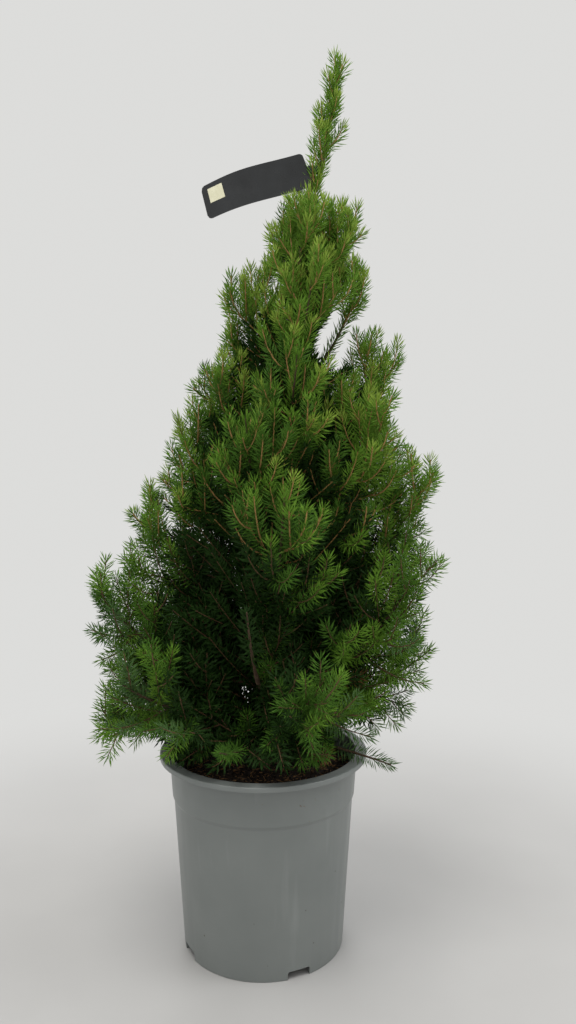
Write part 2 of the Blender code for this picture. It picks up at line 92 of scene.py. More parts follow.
def make_camera():
    data = bpy.data.cameras.new("camera")
    data.sensor_width = SENSOR_MM
    data.lens = SENSOR_MM * FOCAL_PX / PHOTO_HEIGHT_PX
    data.clip_start = NEAREST_SEEN
    camera = bpy.data.objects.new("camera", data)
    camera.location = CAMERA_PLACE
    camera.rotation_euler = (math.pi / 2 + CAMERA_PITCH, 0.0, 0.0)
    bpy.context.collection.objects.link(camera)
    bpy.context.scene.camera = camera
    return data


print("lens in mm:", round(make_camera().lens, 1))

# %% [markdown]
# ## Light
# One lamp alone would leave the inside of the crown black, and a pale world alone would
# throw no shadow. So the world lights the plant from all sides, and three broad discs
# give it form: one above and in front, one at the right, and one behind, so that every
# side has its light.

# %% World and lamps
WORLD_COLOUR = (0.80, 0.80, 0.785)
WORLD_STRENGTH = 0.90
LAMP_AIM = Vector((0.0, 0.0, 0.6))

# Each lamp: place, size across, watts and colour
LAMPS = {
    "top_lamp": ((-0.35, -0.75, 2.3), 1.2, 24.0, (1.0, 0.98, 0.94)),
    "side_lamp": ((1.5, -0.3, 1.9), 1.0, 12.0, (0.98, 0.99, 1.0)),
    "back_lamp": ((-0.3, 1.6, 2.1), 1.2, 12.0, (1.0, 1.0, 1.0)),
}


def make_lamp(name, place, size, watts, colour):
    data = bpy.data.lights.new(name, "AREA")
    data.shape = "DISK"
    data.size = size
    data.energy = watts
    data.color = colour
    lamp = bpy.data.objects.new(name, data)
    lamp.location = place
    lamp.rotation_euler = (LAMP_AIM - Vector(place)).to_track_quat("-Z", "Y").to_euler()
    bpy.context.collection.objects.link(lamp)


def make_world():
    world = bpy.data.worlds.new("studio")
    world.use_nodes = True
    background = world.node_tree.nodes["Background"]
    background.inputs["Color"].default_value = (*WORLD_COLOUR, 1.0)
    background.inputs["Strength"].default_value = WORLD_STRENGTH
    bpy.context.scene.world = world


for lamp_name, lamp_settings in LAMPS.items():
    make_lamp(lamp_name, *lamp_settings)
make_world()
bpy.context.scene.view_settings.view_transform = "Standard"
print("lamps:", ", ".join(LAMPS))

# %% [markdown]
# ## Small helpers
# Blender's own operators work on what is selected, one step at a time, which is slow
# for thousands of shapes. A script is shorter and safer when it makes meshes straight
# from lists of points and faces, so a few helpers do that. The blend is the rule by
# which sizes change along a shoot, here and in the solids.

# %% Helpers for numbers
UP = Vector((0.0, 0.0, 1.0))
EAST = Vector((1.0, 0.0, 0.0))


def blend(value, start, end, low, high):
    """low at start and high at end, a straight line between and level outside."""
    share = min(1.0, max(0.0, (value - start) / (end - start)))
    return low + (high - low) * share


def even(steps, low=0.0, high=1.0):
    """Even steps from low to high, with both ends."""
    return [blend(i, 0, steps, low, high) for i in range(steps + 1)]


def turns_of(sides):
    """The angles of evenly spaced corners round a circle."""
    return [2 * math.pi * i / sides for i in range(sides)]


def bow(start, corner, end, steps):
    """Points of a smooth curve from start to end that is pulled towards a corner."""
    shares = [i / steps for i in range(steps + 1)]
    return [start * (1 - t) ** 2 + corner * 2 * t * (1 - t) + end * t * t for t in shares]


print("half way from 2 to 4:", even(2, 2.0, 4.0)[1])

# %% Helpers for meshes


def plain_mesh(name, verts, faces, edges=()):
    mesh = bpy.data.meshes.new(name)
    mesh.from_pydata([tuple(vert) for vert in verts], edges, faces)
    return mesh


def placed(name, mesh):
    """A new object of the scene that carries a mesh."""
    obj = bpy.data.objects.new(name, mesh)
    bpy.context.collection.objects.link(obj)
    return obj


def mesh_object(name, verts, faces, smooth=True):
    mesh = plain_mesh(name, verts, faces)
    mesh.validate()
    if smooth:
        mesh.shade_smooth()
    return placed(name, mesh)


def tube_faces(first, rings, sides):
    """The faces of a closed tube, whose points stand ring by ring from a first one."""
    last = first + (rings - 1) * sides
    faces = [[first + i for i in reversed(range(sides))]]
    for low in range(first, last, sides):
        for i in range(sides):
            j = (i + 1) % sides
            faces.append([low + i, low + j, low + sides + j, low + sides + i])
    faces.append([last + i for i in range(sides)])
    return faces


def settled(obj):
    """Make what an object's modifiers show its plain mesh, and drop the modifiers."""
    graph = bpy.context.evaluated_depsgraph_get()
    made = bpy.data.meshes.new_from_object(obj.evaluated_get(graph))
    obj.modifiers.clear()
    obj.data = made
    return obj


def painted(obj, material):
    obj.data.materials.clear()
    obj.data.materials.append(material)
    return obj


print("faces of a square tube of three rings:", len(tube_faces(0, 3, 4)))

# %% [markdown]
# ## A short way to write nodes
# Materials and Geometry Nodes are both trees of nodes. Built by hand, each node takes
# four or five lines, which hide what the tree does. One class adds a node, sets it and
# links it in a single call, and two classes for materials and for geometry grow from it.

# %% Nodes and finishes


class Nodes:
    """A node tree in which one call adds a node, sets it and links its inputs."""

    def __init__(self, tree):
        self.tree = tree

    def add(self, kind, inputs=None, **settings):
        made = self.tree.nodes.new(kind)
        for key, value in settings.items():
            setattr(made, key, value)
        for key, value in (inputs or {}).items():
            if isinstance(value, bpy.types.NodeSocket):
                self.tree.links.new(value, made.inputs[key])
            else:
                made.inputs[key].default_value = value
        return made


class Finish(Nodes):
    """A new material, made round its Principled BSDF."""

    def __init__(self, name, roughness):
        self.material = bpy.data.materials.new(name)
        self.material.use_nodes = True
        super().__init__(self.material.node_tree)
        self.shader = self.tree.nodes["Principled BSDF"]
        self.shader.inputs["Roughness"].default_value = roughness
        self.place = self.add("ShaderNodeTexCoord").outputs["Object"]

    def stretched(self, height):
        """Places with their height scaled, which draws a pattern out along the piece."""
        inputs = {"Vector": self.place, "Scale": (1.0, 1.0, height)}
        return self.add("ShaderNodeMapping", inputs).outputs["Vector"]

    def noise(self, scale, detail=3.0, rough=0.5, places=None):
        inputs = {"Vector": places or self.place, "Scale": scale}
        inputs.update({"Detail": detail, "Roughness": rough})
        return self.add("ShaderNodeTexNoise", inputs).outputs["Fac"]

    def ramp(self, source, *stops):
        """A colour for each reading of a source, from pairs of a reading and a colour."""
        made = self.add("ShaderNodeValToRGB", {"Fac": source})
        ramp = made.color_ramp
        while len(ramp.elements) < len(stops):
            ramp.elements.new(0.5)
        for element, (position, colour) in zip(ramp.elements, stops):
            element.position = position
            element.color = (*colour, 1.0)
        return made.outputs["Color"]

    def greys(self, source, *stops):
        return self.ramp(source, *((position, (tone,) * 3) for position, tone in stops))

    def mix(self, factor, first, second, way="MIX"):
        inputs = {0: factor, 6: first, 7: second}
        made = self.add("ShaderNodeMix", inputs, data_type="RGBA", blend_type=way)
        return made.outputs[2]

    def set(self, socket, source):
        self.tree.links.new(source, self.shader.inputs[socket])

    def bump(self, height, strength, distance):
        inputs = {"Height": height, "Strength": strength, "Distance": distance}
        self.set("Normal", self.add("ShaderNodeBump", inputs).outputs["Normal"])


print("classes for nodes:", Nodes.__name__, Finish.__name__)

# %% [markdown]
# ## The floor
# A plain disc. Near the pot it is grey paper that takes the shadow. Further out it fades
# into the same pale light as the world's, so that no horizon shows from any side. A
# curved backdrop would do that for one view only. It is stage, not part of the object.

# %% Floor
FLOOR_RADIUS = 9.0
FLOOR_SIDES = 96
FADE_START = 0.25
FADE_END = 1.0


def floor_finish():
    finish = Finish("floor_paper", 0.55)
    tone = finish.noise(3.0, 4.0)
    paper = finish.ramp(tone, (0.3, (0.42, 0.415, 0.41)), (0.7, (0.47, 0.465, 0.46)))
    finish.set("Base Color", paper)
    away = finish.add("ShaderNodeVectorMath", {0: finish.place}, operation="LENGTH")
    fade_inputs = {"Value": away.outputs["Value"], "From Min": FADE_START, "From Max": FADE_END}
    fade = finish.add("ShaderNodeMapRange", fade_inputs, interpolation_type="SMOOTHSTEP")
    glow_inputs = {"Color": (*WORLD_COLOUR, 1.0), "Strength": WORLD_STRENGTH}
    glow = finish.add("ShaderNodeEmission", glow_inputs)
    both_inputs = {0: fade.outputs["Result"], 1: finish.shader.outputs["BSDF"]}
    both = finish.add("ShaderNodeMixShader", {**both_inputs, 2: glow.outputs["Emission"]})
    end = finish.tree.nodes["Material Output"]
    finish.tree.links.new(both.outputs[0], end.inputs["Surface"])
    return finish.material


def make_floor():
    turns = turns_of(FLOOR_SIDES)
    rim = [Vector((math.cos(turn), math.sin(turn), 0.0)) * FLOOR_RADIUS for turn in turns]
    floor = mesh_object("floor", rim, [tuple(range(FLOOR_SIDES))], smooth=False)
    painted(floor, floor_finish())
    return floor


print("floor corners:", len(make_floor().data.vertices))

# %% [markdown]
# ## The rule of growth
# The trunk leans more and more to the right. Limbs leave it in tiers, go out and turn
# up, and the top is one leading shoot. Three dozen limbs could be drawn by hand, but
# they would look combed, so a rule grows them from a few sizes of each tier. It is the
# solids' own rule, written again with the same seeds, so these are the same limbs. Only
# the leading shoot bows a little further to the right than its solid does.

# %% Line of the trunk
SEED = 1000
SOIL_TOP = 0.2117
TRUNK_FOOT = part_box("trunk")[0][2]
TRUNK_TOP = 0.885
TRUNK_LEAN = 0.080
TRUNK_WAVE = 0.006
LEADER_TIP = 1.004
LEADER_BOW = 0.0078
LEADER_BOW_START = 0.80
LEADER_BOW_END = 1.04


def trunk_point(height):
    share = (height - SOIL_TOP) / (LEADER_TIP - SOIL_TOP)
    return Vector((TRUNK_LEAN * share * share, TRUNK_WAVE * math.sin(5.0 * share), height))


def leader_point(height):
    share = blend(height, LEADER_BOW_START, LEADER_BOW_END, 0.0, 1.0)
    return trunk_point(height) + EAST * LEADER_BOW * math.sin(math.pi * share)


print("lean of the tip in m:", round(leader_point(LEADER_TIP).x, 4))

# %% Lines of the limbs
CROWN_DEPTH = 0.92
LIMB_STEPS = 24
LEADER_STEPS = 16
LEADER_NEEDLES_OVER = 0.008
TURN_PLAY = 9
LEAST_REACH = 0.92
HEIGHT_PLAY = 0.016
FOOT_PLAY = 0.01
KNEE_OUT = 0.62
KNEE_UP = 0.22

# A tier's heights and reaches, its rise in front and behind, its first limb's turn in
# degrees, and whether its limbs start as boughs of bare wood
Tier = namedtuple("Tier", "name foot left_tip left right_tip right rise count turn bough")
TIERS = (
    Tier("skirt", 0.243, 0.268, -0.198, 0.226, 0.155, 0.030, 5, -22, True),
    Tier("low", 0.262, 0.335, -0.184, 0.345, 0.195, 0.010, 5, 2, True),
    Tier("broad", 0.300, 0.418, -0.188, 0.450, 0.192, 0.0, 5, 196, True),
    Tier("waist", 0.365, 0.508, -0.138, 0.545, 0.188, 0.0, 4, 2, True),
    Tier("mid", 0.455, 0.612, -0.096, 0.618, 0.158, 0.0, 5, 183, False),
    Tier("high", 0.535, 0.668, -0.055, 0.682, 0.140, 0.0, 4, 6, False),
    Tier("neck", 0.630, 0.765, -0.022, 0.772, 0.118, 0.0, 4, 184, False),
    Tier("crest", 0.715, 0.835, 0.010, 0.850, 0.092, 0.0, 3, 15, False),
)
Limb = namedtuple("Limb", "tier seed points")


def limb_line(tier, index, rng):
    angle = math.radians(tier.turn + 360 * index / tier.count)
    reach = 1.0
    lift = 0.0
    if index:
        angle += math.radians(rng.uniform(-TURN_PLAY, TURN_PLAY))
        reach = rng.uniform(LEAST_REACH, 1.0)
        lift = rng.uniform(-HEIGHT_PLAY, HEIGHT_PLAY)
    side = (1 + math.cos(angle)) / 2
    rise = tier.rise * math.sin(angle) ** 2
    radius = (tier.right - tier.left) / 2 * reach
    tip = Vector((
        (tier.left + tier.right) / 2 + radius * math.cos(angle),
        radius * math.sin(angle) * CROWN_DEPTH,
        tier.left_tip + (tier.right_tip - tier.left_tip) * side + rise + lift,
    ))
    foot = trunk_point(tier.foot + rng.uniform(-FOOT_PLAY, FOOT_PLAY))
    way = tip - foot
    knee = foot + Vector((way.x * KNEE_OUT, way.y * KNEE_OUT, way.z * KNEE_UP))
    return bow(foot, knee, tip, LIMB_STEPS)


def grow_limbs():
    """Every limb with its tier and seed. The last is the leader, which has no tier."""
    grown = []
    for tier in TIERS:
        for index in range(tier.count):
            seed = SEED + len(grown)
            grown.append(Limb(tier, seed, limb_line(tier, index, random.Random(seed))))
    heights = even(LEADER_STEPS, TRUNK_TOP, LEADER_TIP - LEADER_NEEDLES_OVER)
    leader = [leader_point(height) for height in heights]
    return grown + [Limb(None, SEED + len(grown), leader)]


limbs = grow_limbs()
print("limbs:", len(limbs))

# %% A line that can be read anywhere


class Line:
    """A path that can be read at any distance along it."""

    def __init__(self, points):
        self.points = points
        self.marks = [0.0]
        for before, after in zip(points, points[1:]):
            self.marks.append(self.marks[-1] + (after - before).length)
        self.length = self.marks[-1]

    def at(self, distance):
        distance = min(self.length, max(0.0, distance))
        for i in range(1, len(self.marks)):
            if distance <= self.marks[i] or i == len(self.marks) - 1:
                share = (distance - self.marks[i - 1]) / (self.marks[i] - self.marks[i - 1])
                return self.points[i - 1].lerp(self.points[i], share)

    def way(self, distance, around=0.003):
        """The direction of the path at a distance."""
        return (self.at(distance + around) - self.at(distance - around)).normalized()

    def cut(self, start, end, steps):
        """Points on the stretch between two shares of the path."""
        start, end = start * self.length, end * self.length
        return [self.at(start + (end - start) * i / steps) for i in range(steps + 1)]


print("longest limb in m:", round(max(Line(limb.points).length for limb in limbs), 3))

# %% [markdown]
# ## The space of the crown
# Shoots left to themselves would make a smooth ball. The real crown is a cone with a
# hollow in front, a notch at the right and a hem above the rim of the pot. Shapes cut
# from a finished mesh would show sliced needles, so the space is worked out first, and
# a shoot is cut short, needles and all, where it would leave that space.

# %% Outline of the crown
RIM_RADIUS = 0.120
POT_HEIGHT = 0.230
HEM_OVER = 0.0035
HEM_OUT = 0.005
HANG_SLOPE = 0.25


def outline_at(height):
    """Middle and half width of the crown at a height, from the tiers' tips."""
    left = np.interp(height, [tier.left_tip for tier in TIERS], [tier.left for tier in TIERS])
    right = np.interp(
        height, [tier.right_tip for tier in TIERS], [tier.right for tier in TIERS]
    )
    return (left + right) / 2, (right - left) / 2


def depth_in_crown(point):
    """How far a point lies inside the outline, less than nothing when outside."""
    middle, radius = outline_at(point.z)
    return float(radius - math.hypot(point.x - middle, point.y / CROWN_DEPTH))


def hem_height(point):
    """How low shoots may hang: over the rim inside it, and lower further out."""
    beyond = math.hypot(point.x, point.y) - RIM_RADIUS - HEM_OUT
    return POT_HEIGHT + HEM_OVER - HANG_SLOPE * max(beyond, 0.0)


print("half width of the crown at 0.4 m:", round(float(outline_at(0.4)[1]), 3))

# %% Gaps, and the part of a shoot that is kept
# A gap is the middle and the half sizes of an egg of empty space
HOLLOW = ((-0.026, -0.165, 0.345), (0.042, 0.120, 0.110))
NOTCH = ((0.078, 0.0, 0.690), (0.026, 0.100, 0.026))
SHOULDER_TOP = 0.848

# How much higher the hem is, blended over depth and over width
HEM_BY_DEPTH = (-0.09, -0.03, 0.012, 0.006)
HEM_LEFT = (-0.14, -0.10, 0.028, 0.0)
HEM_RIGHT = (0.06, 0.10, 0.0, 0.028)
SHORTEST = 4


def from_gap(point, gap):
    """How far a point is from a gap in the crown: less than 1 is inside it."""
    middle, size = gap
    away = point - Vector(middle)
    return Vector((away.x / size[0], away.y / size[1], away.z / size[2])).length


def kept_part(points, inset):
    """The stretch of a shoot, from its root, that stays in the crown's space."""
    kept = [points[0]]
    for point in points[1:]:
        hem = hem_height(point) + blend(point.y, *HEM_BY_DEPTH)
        hem += blend(point.x, *HEM_LEFT) + blend(point.x, *HEM_RIGHT)
        if depth_in_crown(point) < inset or not hem < point.z < SHOULDER_TOP:
            break
        if min(from_gap(point, HOLLOW), from_gap(point, NOTCH)) < 1.0:
            break
        kept.append(point)
    return kept


print("the hollow's middle is", round(depth_in_crown(Vector(HOLLOW[0])), 3), "m inside")

# %% [markdown]
# ## Shoots and side shoots
# A limb carries side shoots, and these carry shorter ones, which fill the cone with
# upright fingers. They stand round their parent by the golden angle, the turn that keeps
# each new shoot out of the shade of the last ones. The first order repeats the draws of
# the solids' rule. Each further order has a random generator of its own, so it does not
# disturb the first.

# %% First order of side shoots
GOLDEN_ANGLE = math.radians(137.5)
SHOOT_PITCH = 0.0125
FIRST_AT = 0.30
LAST_AT = 0.965
SIDE_SEED = 5000
SIDE_LEAN_PLAY = 8
SIDE_PLAY = (0.75, 1.1)
LEADER_LEAN_SHARE = 0.7

# Blends along the limb and, for the tall ones, over the height of its tip
SIDE_LEAN = (0.3, 1.0, 62, 34)
SIDE_REACH = (0.45, 0.95, 0.085, 0.040)
TALL_REACH = (0.6, 0.9, 1.0, 0.7)
LEADER_REACH = (0.0, 0.9, 0.036, 0.020)


def leant(way, spin, lean):
    """A direction that leans away from another one, to the side that spin gives."""
    first = way.cross(UP if abs(way.z) < 0.95 else EAST).normalized()
    side = first * math.cos(spin) + way.cross(first) * math.sin(spin)
    return way * math.cos(lean) + side * math.sin(lean)


def shoot_line(start, way, length, lift, steps=6):
    points = [start]
    way = way.normalized()
    for _ in range(steps):
        points.append(points[-1] + way * (length / steps))
        way = (way + UP * (lift / steps)).normalized()
    return points


def lift_at(height):
    """How strongly a shoot turns up: hardly at the hem, strongly near the top."""
    return blend(height, 0.26, 0.45, -0.1, 0.9) + blend(height, 0.45, 0.9, 0.0, 0.4)


def side_shoots(limb, line):
    rng = random.Random(limb.seed + SIDE_SEED)
    first = FIRST_AT if limb.tier else 0.0
    count = int(line.length * (LAST_AT - first) / SHOOT_PITCH)
    spin = rng.uniform(0, 2 * math.pi)
    made = []
    for i in range(count):
        share = first + (LAST_AT - first) * (i + 0.5) / count
        start = line.at(share * line.length)
        way = line.way(share * line.length)
        spin += GOLDEN_ANGLE
        play = rng.uniform(-SIDE_LEAN_PLAY, SIDE_LEAN_PLAY)
        lean = math.radians(blend(share, *SIDE_LEAN) + play)
        reach = blend(share, *SIDE_REACH) * blend(limb.points[-1].z, *TALL_REACH)
        if not limb.tier:
            lean *= LEADER_LEAN_SHARE
            reach = blend(share, *LEADER_REACH)
        length = reach * rng.uniform(*SIDE_PLAY)
        made.append(shoot_line(start, leant(way, spin, lean), length, lift_at(start.z)))
    return made


print("side shoots of the first limb:", len(side_shoots(limbs[0], Line(limbs[0].points))))

# %% Further orders
FURTHER_LEAN = (30, 46)
FURTHER_PLAY = (0.8, 1.25)
FURTHER_LIFT = 1.8
FURTHER_RISE = 0.15


def further_shoots(parent, rng, pitch, share, least):
    """Shoots that stand on another shoot, nearer its tip and closer to it."""
    line = Line(parent)
    count = int(line.length / pitch)
    spin = rng.uniform(0, 2 * math.pi)
    made = []
    for i in range(count):
        place = (i + 0.8) / (count + 0.6)
        way = line.way(place * line.length)
        spin += GOLDEN_ANGLE
        lean = math.radians(rng.uniform(*FURTHER_LEAN))
        length = (line.length * (1 - place) * share + least) * rng.uniform(*FURTHER_PLAY)
        start = line.at(place * line.length)
        lift = lift_at(start.z) * FURTHER_LIFT + FURTHER_RISE
        made.append(shoot_line(start, leant(way, spin, lean), length, lift, 5))
    return made


sample = further_shoots(limbs[0].points, random.Random(SEED), 0.02, 0.5, 0.02)
print("further shoots at 2 cm along the first limb:", len(sample))

# %% [markdown]
# ## Growing the whole crown
# In the lower tiers a limb starts as a bough of bare wood, as old wood is. Behind the
# green outside, the crown's inside is not empty: short old shoots fill it, so that no
# light comes through, and their needles are painted nearly black as shade. A dark ball
# inside would do that too, but it would show in the hollow. The leader is a thin brush,
# and its short shoots lie close along it.

# %% One limb with all its shoots
# Orders of shoots: the limb itself, its side shoots, theirs, the needles that stand on
# the trunk's own top, and the short shoots of the inside, painted dark as shade
LIMB, SIDE, SECOND, ON_TRUNK, INSIDE = range(5)
Shoot = namedtuple("Shoot", "order leading points")

BARE_SHARE = 0.42
BARE_SHARE_HIGH = 0.05
STEM_STEPS = 16
FURTHER_SEED = 20000
INSET = 0.006
OUTSTANDING = -0.012
OUTSTANDING_SHARE = 0.3
LOOSE_TOP = (0.60, 0.70, 0.0, 0.005)
INSIDE_INSET = 0.035

# Start, end and steps of the inner stretches that carry further shoots
STUB = (0.10, 0.34, 5)
INSIDE_STUB = (0.05, 0.55, 6)

# Pitch, share of the parent's length and least length of the further shoots
STUB_GROWTH = (0.016, 0.6, 0.045)
INSIDE_GROWTH = (0.008, 0.3, 0.050)
SECOND_GROWTH = (0.0125, 0.62, 0.024)


def kept_shoots(order, lines, inset):
    """The shoots of a list that are long enough once they are cut to the crown."""
    cut = [kept_part(line, inset) for line in lines]
    return [Shoot(order, False, line) for line in cut if len(line) >= SHORTEST]


def grow_leader(limb):
    line = Line(limb.points)
    brush = [Shoot(SIDE, True, points) for points in side_shoots(limb, line)]
    return [Shoot(LIMB, True, line.cut(0.0, 1.0, STEM_STEPS)), *brush]


def grow_on_limb(limb):
    line = Line(limb.points)
    bare = BARE_SHARE if limb.tier.bough else BARE_SHARE_HIGH
    grown = [Shoot(LIMB, False, line.cut(bare, 1.0, STEM_STEPS))]
    rng = random.Random(limb.seed + FURTHER_SEED)
    firsts = side_shoots(limb, line)
    firsts += further_shoots(line.cut(*STUB), rng, *STUB_GROWTH)
    insides = further_shoots(line.cut(*INSIDE_STUB), rng, *INSIDE_GROWTH)
    grown += kept_shoots(INSIDE, insides, INSIDE_INSET)
    for i, points in enumerate(firsts):
        inset = OUTSTANDING if rng.random() < OUTSTANDING_SHARE else INSET
        inset -= blend(limb.points[-1].z, *LOOSE_TOP)
        first = kept_shoots(SIDE, [points], inset)
        grown += first
        for shoot in first:
            second_rng = random.Random(limb.seed * 100 + i)
            seconds = further_shoots(shoot.points, second_rng, *SECOND_GROWTH)
            grown += kept_shoots(SECOND, seconds, inset)
    return grown


print("shoots of the first limb:", len(grow_on_limb(limbs[0])))

# %% The leader's brush, the filling and the whole
BRUSH_FOOT = 0.735
BRUSH_STEPS = 12
BRUSH_SHOOTS = 16
BRUSH_HEIGHTS = (0.790, 0.975)
BRUSH_LEAN = (14, 24)
BRUSH_LENGTHS = (0.045, 0.020)
BRUSH_PLAY = (0.85, 1.15)
BRUSH_LIFT = 1.2
FILLING_SHOOTS = 220
FILLING_HEIGHTS = (0.255, 0.70)
FILLING_RISE = (0.0, 0.8)
FILLING_REACH = (0.55, 0.85)
FILLING_LIFT = 0.3
FILLING_INSET = 0.02


def grow_brush():
    """Needles on the trunk's bare top, and short shoots that lie close along the leader."""
    rng = random.Random(SEED + 31)
    low = [leader_point(height) for height in even(BRUSH_STEPS, BRUSH_FOOT, TRUNK_TOP)]
    grown = [Shoot(ON_TRUNK, True, low)]
    spin = 0.0
    for i in range(BRUSH_SHOOTS):
        start = leader_point(blend(i, 0, BRUSH_SHOOTS, *BRUSH_HEIGHTS))
        spin += GOLDEN_ANGLE
        lean = math.radians(rng.uniform(*BRUSH_LEAN))
        side = Vector((math.cos(spin), math.sin(spin), 0.0))
        out = UP * math.cos(lean) + side * math.sin(lean)
        length = blend(i, 0, BRUSH_SHOOTS, *BRUSH_LENGTHS) * rng.uniform(*BRUSH_PLAY)
        grown.append(Shoot(SIDE, True, shoot_line(start, out, length, BRUSH_LIFT)))
    return grown


def grow_filling():
    """Old shoots on the trunk that fill the crown's inside, painted dark as shade."""
    rng = random.Random(SEED + 41)
    lines = []
    spin = 0.0
    for i in range(FILLING_SHOOTS):
        height = blend(i, 0, FILLING_SHOOTS, *FILLING_HEIGHTS)
        spin += GOLDEN_ANGLE
        side = Vector((math.cos(spin), math.sin(spin), rng.uniform(*FILLING_RISE)))
        reach = outline_at(height)[1] * rng.uniform(*FILLING_REACH)
        lines.append(shoot_line(trunk_point(height), side, reach, FILLING_LIFT, 8))
    return kept_shoots(INSIDE, lines, FILLING_INSET)


def grow_crown():
    grown = []
    for limb in limbs:
        grown += grow_on_limb(limb) if limb.tier else grow_leader(limb)
    return grown + grow_brush() + grow_filling()


shoots = grow_crown()
total_run = sum(Line(shoot.points).length for shoot in shoots)
print(f"shoots: {len(shoots)}, {total_run:.1f} m of them")

# %% [markdown]
# ## A class for Geometry Nodes
# What repeats thousands of times or follows a path is best left to Geometry Nodes: they
# are quick, and one tree serves many pieces with other sizes. Each tree here starts from
# an object's mesh, ends with real faces and one finish, and is then settled to a mesh.

# %% Node trees for geometry


class Tree(Nodes):
    """A Geometry Nodes tree with named inputs, one of which is its Finish."""

    def __init__(self, name, inputs):
        super().__init__(bpy.data.node_groups.new(name, "GeometryNodeTree"))
        face = self.tree.interface
        face.new_socket("Geometry", in_out="INPUT", socket_type="NodeSocketGeometry")
        face.new_socket("Geometry", in_out="OUTPUT", socket_type="NodeSocketGeometry")
        self.keys = {}
        for label, kind in inputs.items():
            made = face.new_socket(label, in_out="INPUT", socket_type=f"NodeSocket{kind}")
            self.keys[label] = made.identifier
        self.entry = self.add("NodeGroupInput")
        self.exit = self.add("NodeGroupOutput")

    def given(self, label):
        return self.entry.outputs[label]

    def curves(self):
        mesh = {"Mesh": self.given("Geometry")}
        return self.add("GeometryNodeMeshToCurve", mesh).outputs["Curve"]

    def math(self, operation, first, second):
        inputs = {0: first, 1: second}
        return self.add("ShaderNodeMath", inputs, operation=operation).outputs[0]

    def vector(self, **parts):
        return self.add("ShaderNodeCombineXYZ", parts).outputs[0]

    def attribute(self, name):
        made = self.add("GeometryNodeInputNamedAttribute", {"Name": name})
        return made.outputs["Attribute"]

    def random(self, low, high, seed, kind="FLOAT"):
        inputs = {"Min": low, "Max": high, "Seed": seed}
        made = self.add("FunctionNodeRandomValue", inputs, data_type=kind)
        return next(socket for socket in made.outputs if socket.enabled)

    def stand(self, points, pattern, rotation, scale):
        """A copy of a pattern's mesh on every point."""
        shape = self.add("GeometryNodeObjectInfo", {"Object": pattern}).outputs["Geometry"]
        inputs = {"Points": points, "Instance": shape, "Rotation": rotation, "Scale": scale}
        return self.add("GeometryNodeInstanceOnPoints", inputs).outputs["Instances"]

    def end(self, geometry):
        """Make copies real, give them the finish and end the tree."""
        real = self.add("GeometryNodeRealizeInstances", {"Geometry": geometry})
        inputs = {"Geometry": real.outputs["Geometry"], "Material": self.given("Finish")}
        done = self.add("GeometryNodeSetMaterial", inputs)
        self.tree.links.new(done.outputs["Geometry"], self.exit.inputs["Geometry"])

    def apply(self, obj, values):
        """Run the tree on an object and leave the result as its plain mesh."""
        modifier = obj.modifiers.new(self.tree.name, "NODES")
        modifier.node_group = self.tree
        for label, value in values.items():
            modifier[self.keys[label]] = value
        return settled(obj)


def wire_object(name, lines, fields):
    """A mesh of bare edges along some lines, with a value of each field per point."""
    verts = []
    edges = []
    for line in lines:
        start = len(verts)
        verts.extend(line)
        edges.extend((start + i, start + i + 1) for i in range(len(line) - 1))
    mesh = plain_mesh(name, verts, [], edges)
    for label, values in fields.items():
        layer = mesh.attributes.new(label, "FLOAT", "POINT")
        layer.data.foreach_set("value", np.array(values, dtype=np.float32))
    return placed(name, mesh)


print("lines to follow:", len(shoots))

# %% [markdown]
# ## Twigs
# Every shoot has a thin woody stem: orange brown while it is young, dark once it is
# old, and the limbs' old wood is painted darker still as shade inside the crown. The tree
# turns the edges of a plain wire mesh into curves and sweeps a small ring along them,
# scaled by a thickness that each point carries. Four sides are enough for wood a
# millimetre thick. No bark pattern shows at that size, only a speckle.

# %% Twigs
TWIG_SIDES = 4

# Each finish: its dark and its light
TWIG_BARKS = {
    # The old bark is dark partly as old wood and partly as painted shade inside the crown
    "old_twig_bark": ((0.045, 0.024, 0.012), (0.095, 0.052, 0.026)),
    "young_twig_bark": ((0.26, 0.135, 0.040), (0.42, 0.240, 0.080)),
    "brown_twig_bark": ((0.070, 0.036, 0.016), (0.15, 0.080, 0.032)),
}

# Each piece: orders, heights of the shoots' tips, bark, and radius at root and tip
THIN_ORDERS = (SIDE, SECOND, INSIDE)
TWIGS = {
    "twig_stems": ((LIMB,), (0.0, 2.0), "old_twig_bark", 0.0022, 0.0008),
    "twig_brown": (THIN_ORDERS, (0.0, 0.5), "brown_twig_bark", 0.0009, 0.0005),
    "twig_young": (THIN_ORDERS, (0.5, 2.0), "young_twig_bark", 0.0010, 0.0006),
}


def twig_tree():
    tree = Tree("twig_sweep", {"Sides": "Int", "Finish": "Material"})
    ring_inputs = {"Resolution": tree.given("Sides"), "Radius": 1.0}
    ring = tree.add("GeometryNodeCurvePrimitiveCircle", ring_inputs).outputs["Curve"]
    sweep_inputs = {"Curve": tree.curves(), "Profile Curve": ring, "Fill Caps": True}
    sweep_inputs["Scale"] = tree.attribute("thickness")
    tree.end(tree.add("GeometryNodeCurveToMesh", sweep_inputs).outputs["Mesh"])
    return tree


def twig_finish(name, dark, light):
    finish = Finish(name, 0.75)
    finish.set("Base Color", finish.ramp(finish.noise(420.0), (0.3, dark), (0.7, light)))
    finish.bump(finish.noise(900.0, 2.0), 0.4, 0.0004)
    return finish.material


def make_twigs(name, orders, heights, bark_name, thick, thin):
    low, high = heights
    fitting = [shoot for shoot in shoots if shoot.order in orders]
    lines = [shoot.points for shoot in fitting if low <= shoot.points[-1].z < high]
    radii = [radius for line in lines for radius in even(len(line) - 1, thick, thin)]
    obj = wire_object(name, lines, {"thickness": radii})
    sweep_twigs.apply(obj, {"Sides": TWIG_SIDES, "Finish": twig_barks[bark_name]})
    obj.data.shade_smooth()
    print(name, "faces:", len(obj.data.polygons))
    return obj


